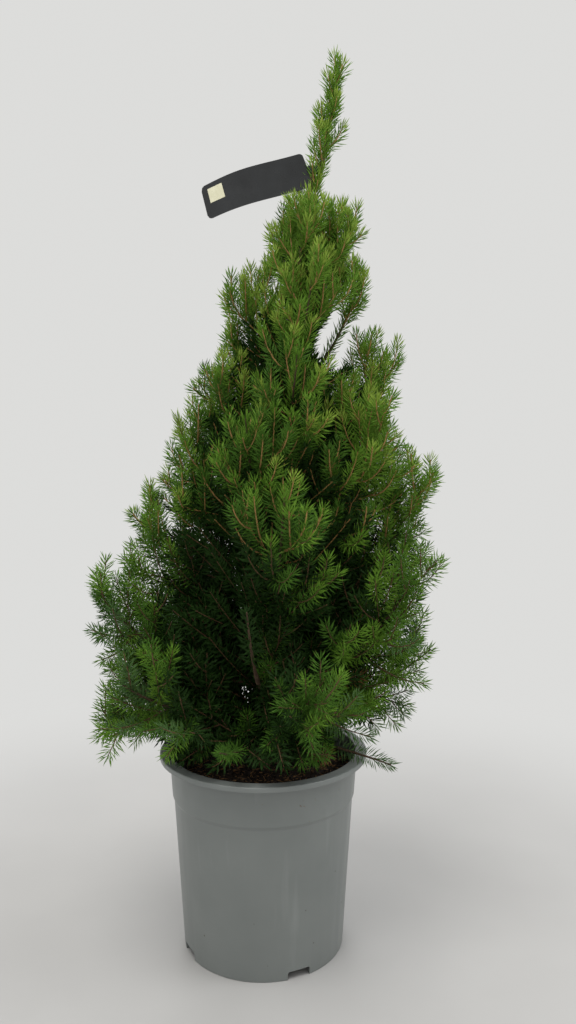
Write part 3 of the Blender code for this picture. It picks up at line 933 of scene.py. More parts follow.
sweep_twigs = twig_tree()
twig_barks = {name: twig_finish(name, *tones) for name, tones in TWIG_BARKS.items()}
twig_pieces = [make_twigs(name, *settings) for name, settings in TWIGS.items()]

# %% [markdown]
# ## Needles
# A needle is a thin spindle about a centimetre and a half long. It stands in a brush
# round its shoot and leans forward, hardly near the root and strongly at the tip, where
# the brush closes to a tuft. A picture of needles on flat cards is the usual short cut,
# but cards look flat from the side. So one small closed spindle of six faces is stood on
# points along each shoot, turned by the golden angle and made real.

# %% One needle
NEEDLE_SIDES = 3
NEEDLE_BELLY = 0.55
NEEDLE_BOW = 0.35


def needle_mesh():
    """A closed spindle along +Z, one unit long, that bows a little away from its shoot."""
    verts = [Vector((0.0, 0.0, 0.0))]
    for turn in turns_of(NEEDLE_SIDES):
        angle = turn + math.pi / 2
        place = (math.cos(angle) * 0.5, math.sin(angle) * 0.5 - NEEDLE_BOW, NEEDLE_BELLY)
        verts.append(Vector(place))
    tip = len(verts)
    verts.append(UP)
    faces = []
    for i in range(NEEDLE_SIDES):
        j = (i + 1) % NEEDLE_SIDES
        faces += [(0, 1 + j, 1 + i), (tip, 1 + i, 1 + j)]
    return mesh_object("needle_pattern", verts, faces, smooth=False)


needle_pattern = needle_mesh()
NEEDLE_FACES = len(needle_pattern.data.polygons)
print("faces of a needle:", NEEDLE_FACES)

# %% The tree that stands needles on a shoot
SPIN_PLAY = 0.35
LEAN_PLAY = 0.16
GROWTH_PLAY = (0.80, 1.12)


def brush_tree():
    inputs = {"Pitch": "Float", "Turn": "Float", "Width": "Float", "Sink": "Float"}
    inputs.update({"Needle": "Object", "Finish": "Material", "Seed": "Int"})
    tree = Tree("needle_brush", inputs)

    def turned(rotation, axis, angle):
        turn_inputs = {"Axis": axis, "Angle": angle}
        turn = tree.add("FunctionNodeAxisAngleToRotation", turn_inputs).outputs["Rotation"]
        both = {0: rotation, 1: turn}
        return tree.add("FunctionNodeRotateRotation", both, rotation_space="LOCAL").outputs[0]

    spot_inputs = {"Curve": tree.curves(), "Length": tree.given("Pitch")}
    spots = tree.add("GeometryNodeCurveToPoints", spot_inputs, mode="LENGTH").outputs
    axes = {"Primary Axis": spots["Tangent"], "Secondary Axis": spots["Normal"]}
    along = tree.add("FunctionNodeAxesToRotation", axes, primary_axis="Z", secondary_axis="X")
    index = tree.add("GeometryNodeInputIndex").outputs["Index"]
    golden = tree.math("MULTIPLY", index, tree.given("Turn"))
    spin = tree.math("ADD", golden, tree.random(-SPIN_PLAY, SPIN_PLAY, tree.given("Seed")))
    lean = tree.math("ADD", tree.attribute("lean"), tree.random(-LEAN_PLAY, LEAN_PLAY, 7))
    rotation = turned(turned(along.outputs[0], tuple(UP), spin), tuple(EAST), lean)
    length = tree.math("MULTIPLY", tree.attribute("needle"), tree.random(*GROWTH_PLAY, 3))
    size = tree.vector(X=tree.given("Width"), Y=tree.given("Width"), Z=length)
    brush = tree.stand(spots["Points"], tree.given("Needle"), rotation, size)
    sunk_inputs = {"Instances": brush, "Translation": tree.vector(Z=tree.given("Sink"))}
    sunk_inputs["Local Space"] = True
    tree.end(tree.add("GeometryNodeTranslateInstances", sunk_inputs).outputs["Instances"])
    return tree


stand_needles = brush_tree()
print("nodes in the brush tree:", len(stand_needles.tree.nodes))

# %% [markdown]
# ## Colours of the needles
# The young tufts are yellow-green, most of the crown is a fresh to middle green, and the
# inside is painted nearly black as shade. High up and at the right and left sides the
# lighter tones come more often, as painted light, and high up also as young growth. Low
# down some sprays are bluer, and near the soil a few are dead. One material could mix all
# of that by place, but a real colour belongs to a shoot, so plain finishes are dealt out
# by shoot instead.

# %% Finishes of the needles
NEEDLE_TONES = {
    "tip": ((0.165, 0.262, 0.030), (0.258, 0.365, 0.060)),
    "fresh": ((0.078, 0.178, 0.016), (0.135, 0.255, 0.030)),
    "green": ((0.038, 0.100, 0.011), (0.070, 0.155, 0.020)),
    # The deep tone is painted shade: nearly black needles inside the crown and by the hollow
    "deep": ((0.008, 0.023, 0.004), (0.018, 0.048, 0.008)),
    "blue": ((0.046, 0.102, 0.028), (0.078, 0.150, 0.046)),
    "dead": ((0.080, 0.040, 0.014), (0.165, 0.090, 0.034)),
}
NEEDLE_GLOSS = 0.08


def needle_finish(tone):
    dark, light = NEEDLE_TONES[tone]
    finish = Finish(f"needle_{tone}", 0.55)
    speckle = finish.noise(160.0, 2.0)
    finish.set("Base Color", finish.ramp(speckle, (0.32, dark), (0.68, light)))
    finish.shader.inputs["Specular IOR Level"].default_value = NEEDLE_GLOSS
    return finish.material


needle_finishes = {tone: needle_finish(tone) for tone in NEEDLE_TONES}
print("tones of green and brown:", ", ".join(needle_finishes))

# %% Which tone a shoot takes
DEAD_BELOW = 0.34
DEAD_DEPTH = 0.04
DEAD_CHANCE = 0.10
BLUE_BELOW = 0.42
BLUE_DEPTH = 0.03
BLUE_SIDE = 0.09
BLUE_CHANCE = 0.35
NEAR_HOLLOW = 1.6
HOLLOW_CHANCE = 0.75
INNER_DEPTH = 0.055
HALF_DEPTH = 0.030
TIP_CHANCE = 0.85

# How much painted light a tip gets by its height and at the right and the left
LIGHT_HIGH = (0.48, 0.78, 0.0, 1.0)
LIGHT_RIGHT = (0.03, 0.11, 0.0, 0.80)
LIGHT_LEFT = (-0.12, -0.06, 0.60, 0.0)


def is_dead(tip, deep, rng):
    if not (tip.z < DEAD_BELOW and rng.random() < DEAD_CHANCE):
        return False
    return deep > DEAD_DEPTH and (tip.x > 0.03 or tip.y > 0.0)


def is_blue(tip, deep, rng):
    outside = tip.z < BLUE_BELOW and deep < BLUE_DEPTH and abs(tip.x) > BLUE_SIDE
    return outside and rng.random() < BLUE_CHANCE


def tones_of(shoot, rng):
    """The tone of a shoot's body and that of its tip."""
    tip = shoot.points[-1]
    deep = depth_in_crown(tip)
    if is_dead(tip, deep, rng):
        return "dead", "dead"
    # Painted shade: the shoots of the inside take the nearly black tone
    if shoot.order == INSIDE:
        return "deep", "deep"
    if is_blue(tip, deep, rng):
        return "blue", "blue"
    # Painted light: tips high up, where they are also young growth, and at the right and left
    # sides take the lighter tones more often
    high = blend(tip.z, *LIGHT_HIGH)
    side = blend(tip.x, *LIGHT_RIGHT) + blend(tip.x, *LIGHT_LEFT)
    chance = rng.random()
    # Painted shade: shoots by the hollow and deep in the crown take the nearly black tone
    if from_gap(tip, HOLLOW) < NEAR_HOLLOW and chance < HOLLOW_CHANCE:
        return "deep", "deep"
    if not shoot.leading and deep > INNER_DEPTH:
        return ("deep", "deep") if chance < 0.80 - 0.4 * high else ("green", "green")
    if not shoot.leading and deep > HALF_DEPTH and chance < 0.45 - 0.35 * high - 0.30 * side:
        return "deep", "green"
    if chance < TIP_CHANCE * high:
        return "fresh", "tip"
    if chance < TIP_CHANCE * high + side:
        return "fresh", "fresh"
    if chance < 0.75 + 0.25 * high:
        return "green", "fresh"
    return "green", "green"


print("tones of the first limb:", tones_of(shoots[0], random.Random(SEED)))

# %% [markdown]
# ## Standing the needles
# Every shoot becomes a row of points that say how far needles lean there and how long
# they are. A shoot's body and its tip may have two tones, so its row is cut in two. A
# single mesh of all needles would have far too many faces to handle, so each tone is
# shared out in pieces of about the same size. Needles inside the crown are hardly seen,
# so there they are fewer and broader.

# %% Rows of needles
NEEDLE_LENGTH = 0.0156
ROW_STEPS = 8
TUFT_SHARE = 0.70
BARE_STEM = 0.30
BARE_ROOT = 0.04

# Leans in degrees by the height of the shoot's tip, and the length along the shoot
ROOT_LEAN = (0.40, 0.80, 68.0, 42.0)
TIP_LEAN = (0.40, 0.80, 32.0, 18.0)
LENGTH_ALONG = (0.75, 1.0, 1.0, 0.82)


def brush_rows(shoot):
    """Points of one shoot with how far the needles lean and how long they are."""
    line = Line(shoot.points)
    bare = BARE_STEM if shoot.order == LIMB and not shoot.leading else BARE_ROOT
    height = shoot.points[-1].z
    rows = []
    for i in range(ROW_STEPS + 1):
        share = bare + (1.0 - bare) * i / ROW_STEPS
        lean = blend(share, 0.60, 1.0, blend(height, *ROOT_LEAN), blend(height, *TIP_LEAN))
        length = NEEDLE_LENGTH * blend(share, *LENGTH_ALONG)
        rows.append((line.at(share * line.length), math.radians(lean), length))
    return rows


def deal_needles():
    rng = random.Random(SEED + 77)
    dealt = {tone: [] for tone in NEEDLE_TONES}
    cut = int((ROW_STEPS + 1) * TUFT_SHARE)
    for shoot in shoots:
        body_tone, tip_tone = tones_of(shoot, rng)
        rows = brush_rows(shoot)
        dealt[body_tone].append(rows[: cut + 1])
        dealt[tip_tone].append(rows[cut:])
    return dealt


rows_of_tone = deal_needles()
print("rows:", {tone: len(rows) for tone, rows in rows_of_tone.items()})

# %% Pieces of needles
NEEDLE_PITCH = 0.00062
NEEDLE_WIDTH = 0.00135
DEEP_PITCH = 0.00115
DEEP_WIDTH = 0.0024
NEEDLE_SINK = 0.0006
MOST_FACES = 180000


def run_of(rows):
    return Line([row[0] for row in rows]).length


def shared_out(all_rows, pieces):
    """The rows of a tone in groups of about the same total length."""
    whole = sum(run_of(rows) for rows in all_rows)
    groups = [[] for _ in range(pieces)]
    done = 0.0
    for rows in all_rows:
        groups[min(pieces - 1, int(pieces * done / whole))].append(rows)
        done += run_of(rows)
    return groups


def make_needles(tone):
    pitch, width = NEEDLE_PITCH, NEEDLE_WIDTH
    if tone == "deep":
        pitch, width = DEEP_PITCH, DEEP_WIDTH
    whole = sum(run_of(rows) for rows in rows_of_tone[tone])
    pieces = math.ceil(whole / pitch * NEEDLE_FACES / MOST_FACES)
    made = []
    for piece, group in enumerate(shared_out(rows_of_tone[tone], pieces)):
        lines = [[row[0] for row in rows] for rows in group]
        leans = [row[1] for rows in group for row in rows]
        lengths = [row[2] for rows in group for row in rows]
        name = f"needles_{tone}_{piece + 1}"
        obj = wire_object(name, lines, {"lean": leans, "needle": lengths})
        values = {"Pitch": pitch, "Turn": GOLDEN_ANGLE, "Width": width, "Sink": -NEEDLE_SINK}
        values.update({"Needle": needle_pattern, "Finish": needle_finishes[tone]})
        made.append(stand_needles.apply(obj, {**values, "Seed": 11 + piece}))
        print(name, "faces:", len(obj.data.polygons))
    return made


needle_pieces = [piece for tone in NEEDLE_TONES for piece in make_needles(tone)]
bpy.data.objects.remove(needle_pattern)

# %% [markdown]
# ## Trunk and boughs with their bark
# The trunk is a tapering tube with a lobed flare at the soil. Its bark is thin and
# scaly: shallow cracks run up it and rings of old bud scars go round it. A bump in the
# finish alone would leave a smooth outline, so the relief is in the mesh, from two
# noises stretched along the wood, and only the finest grain is in the finish. The
# boughs are made the same way, with fewer faces.

# %% Tubes with bark relief
TRUNK_RADIUS = 0.0115
TRUNK_TOP_RADIUS = 0.0027
ROOT_FLARE = 0.0050
FLARE_HEIGHT = 0.012
ROOTS = 5
ROOT_TURN = 0.6
CRACK_WIDTH = 0.25
CRACK_DEPTH = 1.8
SCAR_DEPTH = 0.5


def trunk_radius(height):
    flare = ROOT_FLARE * math.exp(-(height - TRUNK_FOOT) / FLARE_HEIGHT)
    return blend(height, TRUNK_FOOT, TRUNK_TOP, TRUNK_RADIUS, TRUNK_TOP_RADIUS) + flare


def bark_swell(point, out):
    """How far the bark stands out or sinks at one place, as a share of its relief."""
    spot = Vector((out.x * 2.2, out.y * 2.2, point.z * 55.0 + point.x * 40.0))
    crack = abs(noise.noise(spot * 1.6))
    scar = noise.noise(Vector((out.x * 5.0, out.y * 5.0, point.z * 240.0)))
    return scar * SCAR_DEPTH - CRACK_DEPTH * max(0.0, CRACK_WIDTH - crack)


def bark_tube(points, radii, sides, relief, lobe=0.0):
    """The points of a tube with bark relief, ring by ring, lobed near the soil."""
    verts = []
    side = EAST
    last = len(points) - 1
    for ring, (point, radius) in enumerate(zip(points, radii)):
        ahead = (points[min(ring + 1, last)] - points[max(ring - 1, 0)]).normalized()
        if lobe and ring in (0, last):
            ahead = UP
        side = (side - ahead * side.dot(ahead)).normalized()
        other = ahead.cross(side)
        roots = lobe * math.exp(-(point.z - TRUNK_FOOT) / FLARE_HEIGHT)
        for angle in turns_of(sides):
            out = side * math.cos(angle) + other * math.sin(angle)
            width = radius * (1.0 + relief * bark_swell(point, out))
            width *= 1.0 + roots * math.cos(ROOTS * angle + ROOT_TURN)
            verts.append(point + out * width)
    return verts


print("trunk's radius at the soil in m:", round(trunk_radius(SOIL_TOP), 4))

# %% Bark finish, trunk and boughs
TRUNK_SIDES = 48
TRUNK_RINGS = 240
TRUNK_RELIEF = 0.10
TRUNK_LOBES = 0.22
BOUGH_SIDES = 14
BOUGH_RINGS = 36
BOUGH_SHARE = 0.45
BOUGH_RADII = (0.0042, 0.0024)
BOUGH_RELIEF = 0.12
BARK_TONES = (
    (0.30, (0.045, 0.026, 0.017)),
    (0.55, (0.13, 0.075, 0.045)),
    (0.75, (0.24, 0.16, 0.10)),
)


def bark_finish():
    finish = Finish("bark", 0.85)
    along = finish.stretched(0.35)
    finish.set("Base Color", finish.ramp(finish.noise(90.0, 4.0, places=along), *BARK_TONES))
    finish.bump(finish.noise(600.0, 4.0, places=along), 0.6, 0.0006)
    return finish.material


def make_trunk():
    shares = [share ** 1.3 for share in even(TRUNK_RINGS)]
    heights = [TRUNK_FOOT + (TRUNK_TOP - TRUNK_FOOT) * share for share in shares]
    points = [trunk_point(height) for height in heights]
    radii = [trunk_radius(height) for height in heights]
    verts = bark_tube(points, radii, TRUNK_SIDES, TRUNK_RELIEF, TRUNK_LOBES)
    return mesh_object("trunk_bark", verts, tube_faces(0, len(points), TRUNK_SIDES))


def make_boughs():
    verts = []
    faces = []
    for limb in limbs:
        if limb.tier and limb.tier.bough:
            path = Line(limb.points).cut(0.0, BOUGH_SHARE, BOUGH_RINGS)
            faces += tube_faces(len(verts), len(path), BOUGH_SIDES)
            radii = even(BOUGH_RINGS, *BOUGH_RADII)
            verts += bark_tube(path, radii, BOUGH_SIDES, BOUGH_RELIEF)
    return mesh_object("bough_bark", verts, faces)


bark = bark_finish()
trunk_piece = painted(make_trunk(), bark)
bough_piece = painted(make_boughs(), bark)
print("trunk faces:", len(trunk_piece.data.polygons))
print("bough faces:", len(bough_piece.data.polygons))

# %% [markdown]
# ## The pot
# A thin injection-moulded pot in grey-green plastic: a cone that steps out a little at
# a collar and ends in a flat rim with a turned-down edge. It could be a stack of
# cylinders, but moulded plastic has no sharp edge. So its outline, with every corner
# rounded, is turned round the axis. The drain holes and the notches in the foot are cut
# with Booleans, as in the solid.

# %% Turning an outline


def rounded(profile, radius, steps=5):
    """Round each inner corner of an outline, by less where its sides are short."""
    corners = [Vector(corner) for corner in profile]
    made = [corners[0]]
    for before, corner, after in zip(corners, corners[1:], corners[2:]):
        trim = min(radius, 0.42 * (corner - before).length, 0.42 * (after - corner).length)
        start = corner + (before - corner).normalized() * trim
        end = corner + (after - corner).normalized() * trim
        made += bow(start, corner, end, steps)
    return [*made, corners[-1]]


def lathe(name, profile, sides):
    """Turn an outline that starts and ends on the axis into a closed shell."""
    verts = [Vector((0.0, 0.0, profile[0][1]))]
    rings = []
    for radius, height in profile[1:-1]:
        rings.append(len(verts))
        for turn in turns_of(sides):
            verts.append(Vector((radius * math.cos(turn), radius * math.sin(turn), height)))
    verts.append(Vector((0.0, 0.0, profile[-1][1])))
    faces = []
    for i in range(sides):
        j = (i + 1) % sides
        faces.append((0, rings[0] + j, rings[0] + i))
        for low, high in zip(rings, rings[1:]):
            faces.append((low + i, low + j, high + j, high + i))
        faces.append((rings[-1] + i, rings[-1] + j, len(verts) - 1))
    return mesh_object(name, verts, faces)


print("points of a rounded corner:", len(rounded([(0, 0), (1, 0), (1, 1)], 0.1)) - 2)

# %% Outline of the pot
POT_SIDES = 160
POT_FOOT_RADIUS = 0.0932
POT_TAPER = 0.0604
POT_WALL = 0.0022
POT_ROUNDING = 0.0016
COLLAR_HEIGHT = 0.177
COLLAR_STEP = 0.0018
COLLAR_STEP_HEIGHT = 0.003
COLLAR_TOP_RADIUS = 0.1088
RIM_THICKNESS = 0.0022
RIM_DROP = 0.006
PLATE_HEIGHT = 0.010
PLATE_THICKNESS = 0.003
HUB_RADIUS = 0.030


def pot_outer(height):
    return POT_FOOT_RADIUS + POT_TAPER * height


def pot_profile():
    skirt = POT_FOOT_RADIUS - POT_WALL
    floor = PLATE_HEIGHT + PLATE_THICKNESS
    under = POT_HEIGHT - RIM_THICKNESS
    edge = POT_HEIGHT - RIM_DROP
    collar = pot_outer(COLLAR_HEIGHT)
    stepped = COLLAR_HEIGHT + COLLAR_STEP_HEIGHT
    corners = (
        (0.0, 0.0),
        (HUB_RADIUS, 0.0),
        (HUB_RADIUS, PLATE_HEIGHT),
        (skirt, PLATE_HEIGHT),
        (skirt, 0.0),
        (POT_FOOT_RADIUS, 0.0),
        (collar, COLLAR_HEIGHT),
        (collar + COLLAR_STEP, stepped),
        (COLLAR_TOP_RADIUS, under),
        (RIM_RADIUS - RIM_THICKNESS, under),
        (RIM_RADIUS - RIM_THICKNESS, edge),
        (RIM_RADIUS, edge),
        (RIM_RADIUS, POT_HEIGHT),
        (COLLAR_TOP_RADIUS - POT_WALL, POT_HEIGHT),
        (collar + COLLAR_STEP - POT_WALL, stepped),
        (collar - POT_WALL, COLLAR_HEIGHT),
        (pot_outer(floor) - POT_WALL, floor),
        (0.0, floor),
    )
    return rounded(corners, POT_ROUNDING)


pot_shell = lathe("pot_shell", pot_profile(), POT_SIDES)
print("faces of the uncut shell:", len(pot_shell.data.polygons))

# %% Cutting the drain holes and notches
DRAIN_COUNT = 8
DRAIN_RING_RADIUS = 0.062
DRAIN_RADIUS = 0.005
DRAIN_SIDES = 24
DRAIN_CUT = (0.004, 0.020)
NOTCH_COUNT = 4
NOTCH_HALF = 0.0135
NOTCH_TOP = 0.0097
NOTCH_CORNER = 0.003
NOTCH_CUT = (POT_FOOT_RADIUS - 0.012, POT_FOOT_RADIUS + 0.010)
NOTCH_TURN = math.radians(-64)
BELOW = -0.004
SHARP_ANGLE = math.radians(35)


def drain_drum():
    turns = turns_of(DRAIN_SIDES)
    ring = [(DRAIN_RADIUS * math.cos(turn), DRAIN_RADIUS * math.sin(turn)) for turn in turns]
    return [(x + DRAIN_RING_RADIUS, y, z) for z in DRAIN_CUT for x, y in ring]


def notch_prism(steps=4):
    """The notch's opening, an upright rectangle with round top corners, run through."""
    right = []
    for turn in even(steps, 0.0, math.pi / 2):
        y = NOTCH_HALF - NOTCH_CORNER + NOTCH_CORNER * math.cos(turn)
        right.append((y, NOTCH_TOP - NOTCH_CORNER + NOTCH_CORNER * math.sin(turn)))
    left = [(-y, z) for y, z in reversed(right)]
    outline = [(NOTCH_HALF, BELOW), *right, *left, (-NOTCH_HALF, BELOW)]
    return [(x, y, z) for x in NOTCH_CUT for y, z in outline]


def cut_pot(pot):
    group = bpy.data.collections.new("pot_cutters")
    bpy.context.scene.collection.children.link(group)
    turns = [(drain_drum(), turn + math.pi / DRAIN_COUNT) for turn in turns_of(DRAIN_COUNT)]
    turns += [(notch_prism(), turn + NOTCH_TURN) for turn in turns_of(NOTCH_COUNT)]
    for verts, turn in turns:
        mesh = plain_mesh("cutter", verts, tube_faces(0, 2, len(verts) // 2))
        mesh.transform(Matrix.Rotation(turn, 4, "Z"))
        group.objects.link(bpy.data.objects.new("cutter", mesh))
    modifier = pot.modifiers.new("cut", "BOOLEAN")
    modifier.operation = "DIFFERENCE"
    modifier.operand_type = "COLLECTION"
    modifier.collection = group
    settled(pot)
    for cutter in list(group.objects):
        bpy.data.objects.remove(cutter)
    bpy.data.collections.remove(group)
    pot.data.shade_smooth()
    pot.data.set_sharp_from_angle(angle=SHARP_ANGLE)
    return pot


pot_piece = cut_pot(pot_shell)
print("pot faces:", len(pot_piece.data.polygons))

# %% [markdown]
# ## The pot's plastic
# A used pot is never one even grey. Its plastic is faintly cloudy, pale streaks that run
# up and down are painted highlight, and here and there is a speck of dirt. A painted
# picture would need the surface unfolded. Noise in the object's own space needs no
# unfolding and is as sharp as the render asks. The streaks are the same noise, drawn out
# in height.

# %% Finish of the pot
POT_DARK = (0.176, 0.192, 0.186)
POT_LIGHT = (0.200, 0.216, 0.209)
POT_STREAK_HIGHLIGHT = (0.30, 0.32, 0.31, 1.0)
POT_DIRT = (0.05, 0.04, 0.03, 1.0)


def pot_finish():
    finish = Finish("pot_plastic", 0.36)
    base = finish.ramp(finish.noise(14.0, 4.0), (0.3, POT_DARK), (0.7, POT_LIGHT))
    streak = finish.noise(60.0, 3.0, places=finish.stretched(0.10))
    # Painted highlight: pale streaks that run up and down the pot
    pale = finish.greys(streak, (0.62, 0.0), (0.80, 0.28))
    highlighted = finish.mix(pale, base, POT_STREAK_HIGHLIGHT)
    cells = finish.add("ShaderNodeTexVoronoi", {"Vector": finish.place, "Scale": 48.0})
    dot = finish.greys(cells.outputs["Distance"], (0.045, 0.8), (0.065, 0.0))
    rare = finish.greys(finish.noise(9.0, 1.0), (0.46, 0.0), (0.52, 1.0))
    dirt = finish.mix(1.0, dot, rare, "MULTIPLY")
    finish.set("Base Color", finish.mix(dirt, highlighted, POT_DIRT))
    finish.set("Roughness", finish.greys(streak, (0.3, 0.32), (0.8, 0.50)))
    finish.bump(finish.noise(700.0, 2.0), 0.12, 0.0002)
    return finish.material


painted(pot_piece, pot_finish())
print("finish of the pot:", pot_piece.data.materials[0].name)

# %% [markdown]
# ## Soil
# The root ball is dark peat. A flat disc would look like a lid, so the top is a disc of
# many rings that noise lifts into low lumps. It is closed below, and calm round the
# trunk, where the flare meets it.

# %% The soil's body
SOIL_EDGE = 0.208
SOIL_RADIUS = 0.1052
SOIL_SIDES = 120
SOIL_RINGS = 34
SOIL_CLEAR = 0.0006
TOP_FROM = 0.2075
TOP_WITHIN = 0.1037
LUMPS = ((60.0, 0.0030), (190.0, 0.0016))
CALM_MIDDLE = (0.010, 0.030, 0.0, 1.0)
PEAT_TONES = (
    (0.30, (0.010, 0.006, 0.004)),
    (0.55, (0.030, 0.018, 0.011)),
    (0.72, (0.075, 0.042, 0.022)),
)


def soil_profile():
    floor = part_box("soil")[0][2]
    rows = [(0.0, floor), (pot_outer(floor) - POT_WALL - SOIL_CLEAR, floor)]
    rows.append((pot_outer(COLLAR_HEIGHT) - POT_WALL - 0.0008, COLLAR_HEIGHT - 0.001))
    rows.append((SOIL_RADIUS - SOIL_CLEAR, SOIL_EDGE - 0.002))
    for share in even(SOIL_RINGS)[1:]:
        height = blend(share, 0.0, 0.6, SOIL_EDGE, SOIL_TOP)
        rows.append(((SOIL_RADIUS - 0.001) * (1 - share), height))
    return rows


def make_soil():
    soil = lathe("soil_body", soil_profile(), SOIL_SIDES)
    for vert in soil.data.vertices:
        spot = vert.co
        away = math.hypot(spot.x, spot.y)
        if spot.z > TOP_FROM and away < TOP_WITHIN:
            lumps = sum(noise.noise(spot * scale) * height for scale, height in LUMPS)
            spot.z += lumps * blend(away, *CALM_MIDDLE) - SOIL_CLEAR
    return soil


def soil_finish():
    finish = Finish("peat", 0.95)
    finish.set("Base Color", finish.ramp(finish.noise(260.0, 5.0, 0.65), *PEAT_TONES))
    finish.bump(finish.noise(420.0, 5.0), 0.9, 0.0016)
    return finish.material


peat = soil_finish()
soil_piece = painted(make_soil(), peat)
print("soil faces:", len(soil_piece.data.polygons))

# %% [markdown]
# ## Crumbs and fallen needles
# Peat breaks into crumbs, and straw-coloured dead needles lie on it. They are small
# shapes that Geometry Nodes scatter over the faces of the soil that look up, each turned
# and sized at random. A needle lies nearly flat, so it is let tumble less than a crumb.

# %% Scatter tree
LEAST_UPRIGHT = 0.6


def scatter_tree():
    inputs = {"Pattern": "Object", "Density": "Float", "Small": "Float", "Large": "Float"}
    inputs.update({"Tumble": "Float", "Finish": "Material", "Seed": "Int"})
    tree = Tree("scatter", inputs)
    normal = tree.add("GeometryNodeInputNormal").outputs["Normal"]
    upright = tree.add("ShaderNodeSeparateXYZ", {0: normal}).outputs["Z"]
    facing_inputs = {0: upright, 1: LEAST_UPRIGHT}
    facing = tree.add("FunctionNodeCompare", facing_inputs, operation="GREATER_THAN")
    spread = {"Mesh": tree.given("Geometry"), "Selection": facing.outputs[0]}
    spread.update({"Density": tree.given("Density"), "Seed": tree.given("Seed")})
    points = tree.add("GeometryNodeDistributePointsOnFaces", spread).outputs["Points"]
    turn = tree.random((-1.0, -1.0, 0.0), (1.0, 1.0, 6.2832), 5, "FLOAT_VECTOR")
    loose = tree.vector(X=tree.given("Tumble"), Y=tree.given("Tumble"), Z=1.0)
    turned = tree.add("ShaderNodeVectorMath", {0: turn, 1: loose}, operation="MULTIPLY")
    rotation = tree.add("FunctionNodeEulerToRotation", {0: turned.outputs[0]}).outputs[0]
    size = tree.random(tree.given("Small"), tree.given("Large"), 9)
    tree.end(tree.stand(points, tree.given("Pattern"), rotation, size))
    return tree


scatter = scatter_tree()
print("nodes in the scatter tree:", len(scatter.tree.nodes))

# %% Crumbs and needles on the soil
# Each kind: how many to a square metre, smallest and largest size, tumble and seed
CRUMBS = (42000.0, (0.0007, 0.0024), 1.5, 21)
STRAW = (26000.0, (0.008, 0.014), 0.25, 22)
STRAW_TONES = ((0.17, 0.080, 0.026), (0.34, 0.19, 0.075))


def crumb_pattern():
    body = bmesh.new()
    bmesh.ops.create_icosphere(body, subdivisions=1, radius=1.0)
    for vert in body.verts:
        vert.co *= 1.0 + 0.35 * noise.noise(vert.co * 2.3)
    mesh = bpy.data.meshes.new("crumb_pattern")
    body.to_mesh(mesh)
    body.free()
    return placed("crumb_pattern", mesh)


def litter_pattern():
    """A fallen needle: a thin closed spindle that lies along Y."""
    belly = [(0.05, 0.0, 0.02), (-0.05, 0.0, 0.02), (0.0, 0.0, 0.10)]
    verts = [(0.0, -0.5, 0.0), *belly, (0.0, 0.5, 0.0)]
    faces = [(0, 1, 2), (0, 3, 1), (0, 2, 3), (4, 2, 1), (4, 1, 3), (4, 3, 2)]
    return mesh_object("litter_pattern", verts, faces, smooth=False)


def scattered(name, pattern, material, density, sizes, tumble, seed):
    obj = placed(name, soil_piece.data.copy())
    obj.data.materials.clear()
    values = {"Pattern": pattern, "Density": density, "Small": sizes[0], "Large": sizes[1]}
    scatter.apply(obj, {**values, "Tumble": tumble, "Finish": material, "Seed": seed})
    bpy.data.objects.remove(pattern)
    print(name, "faces:", len(obj.data.polygons))
    return obj


crumb_piece = scattered("soil_crumbs", crumb_pattern(), peat, *CRUMBS)
straw = twig_finish("fallen_straw", *STRAW_TONES)
litter_piece = scattered("fallen_needles", litter_pattern(), straw, *STRAW)

# %% [markdown]
# ## Label
# A nursery label is one ribbon of glossy black plastic: a wide head and a narrow tail
# that goes round the stem. The head's corners are round, and it is blank but for a plain
# cream square. A flat plane would do for the head, but not for the loop, so the whole is
# one ribbon along a path. The path is the solid's, read finer, and the head is a little
# wider, higher and longer than in the solid.

# %% Path and width of the label
LABEL_HEIGHT = 0.883
LABEL_LENGTH = 0.122
LABEL_WIDTH = 0.037
LABEL_SLOPE = 0.32
LABEL_BOW = 0.012
LABEL_WAVE = 0.004
LABEL_CORNER = 0.005
HEAD_SHARE = 0.95
TAIL_WIDTH = 0.007
LOOP_RADIUS = 0.0043


def label_point(share):
    """The label's middle line on its flat stretch, from the free end to the trunk."""
    run = (1.0 - share) * LABEL_LENGTH
    curve = LABEL_BOW * math.sin(math.pi * share) + LABEL_WAVE * math.sin(2 * math.pi * share)
    x = -LOOP_RADIUS * 0.4 - run * 0.97
    drop = LABEL_SLOPE * max(0.0, -x - 0.004)
    return trunk_point(LABEL_HEIGHT) + Vector((x, -LOOP_RADIUS - curve, -drop))


def label_half_width(share):
    """Half the ribbon's width: round at its free end and at its shoulder."""
    run = share * LABEL_LENGTH
    left = HEAD_SHARE * LABEL_LENGTH - run
    if left < 0:
        return TAIL_WIDTH / 2
    lost = max(0.0, LABEL_CORNER - min(run, left))
    round_off = LABEL_CORNER - math.sqrt(max(0.0, LABEL_CORNER ** 2 - lost ** 2))
    return max(TAIL_WIDTH / 2, LABEL_WIDTH / 2 - round_off)


print("free end of the label:", tuple(round(part, 3) for part in label_point(0.0)))

# %% Ribbons of the label and its square
LABEL_THICKNESS = 0.0009
HEAD_STEPS = 90
LOOP_STEPS = 40
LOOP_START = -104
LOOP_TURN = 325
PATCH_STEPS = 12
PATCH_SPAN = (0.045, 0.180)
PATCH_RISE = 0.0055
PATCH_HALF = 0.0078
PATCH_THICKNESS = 0.0002


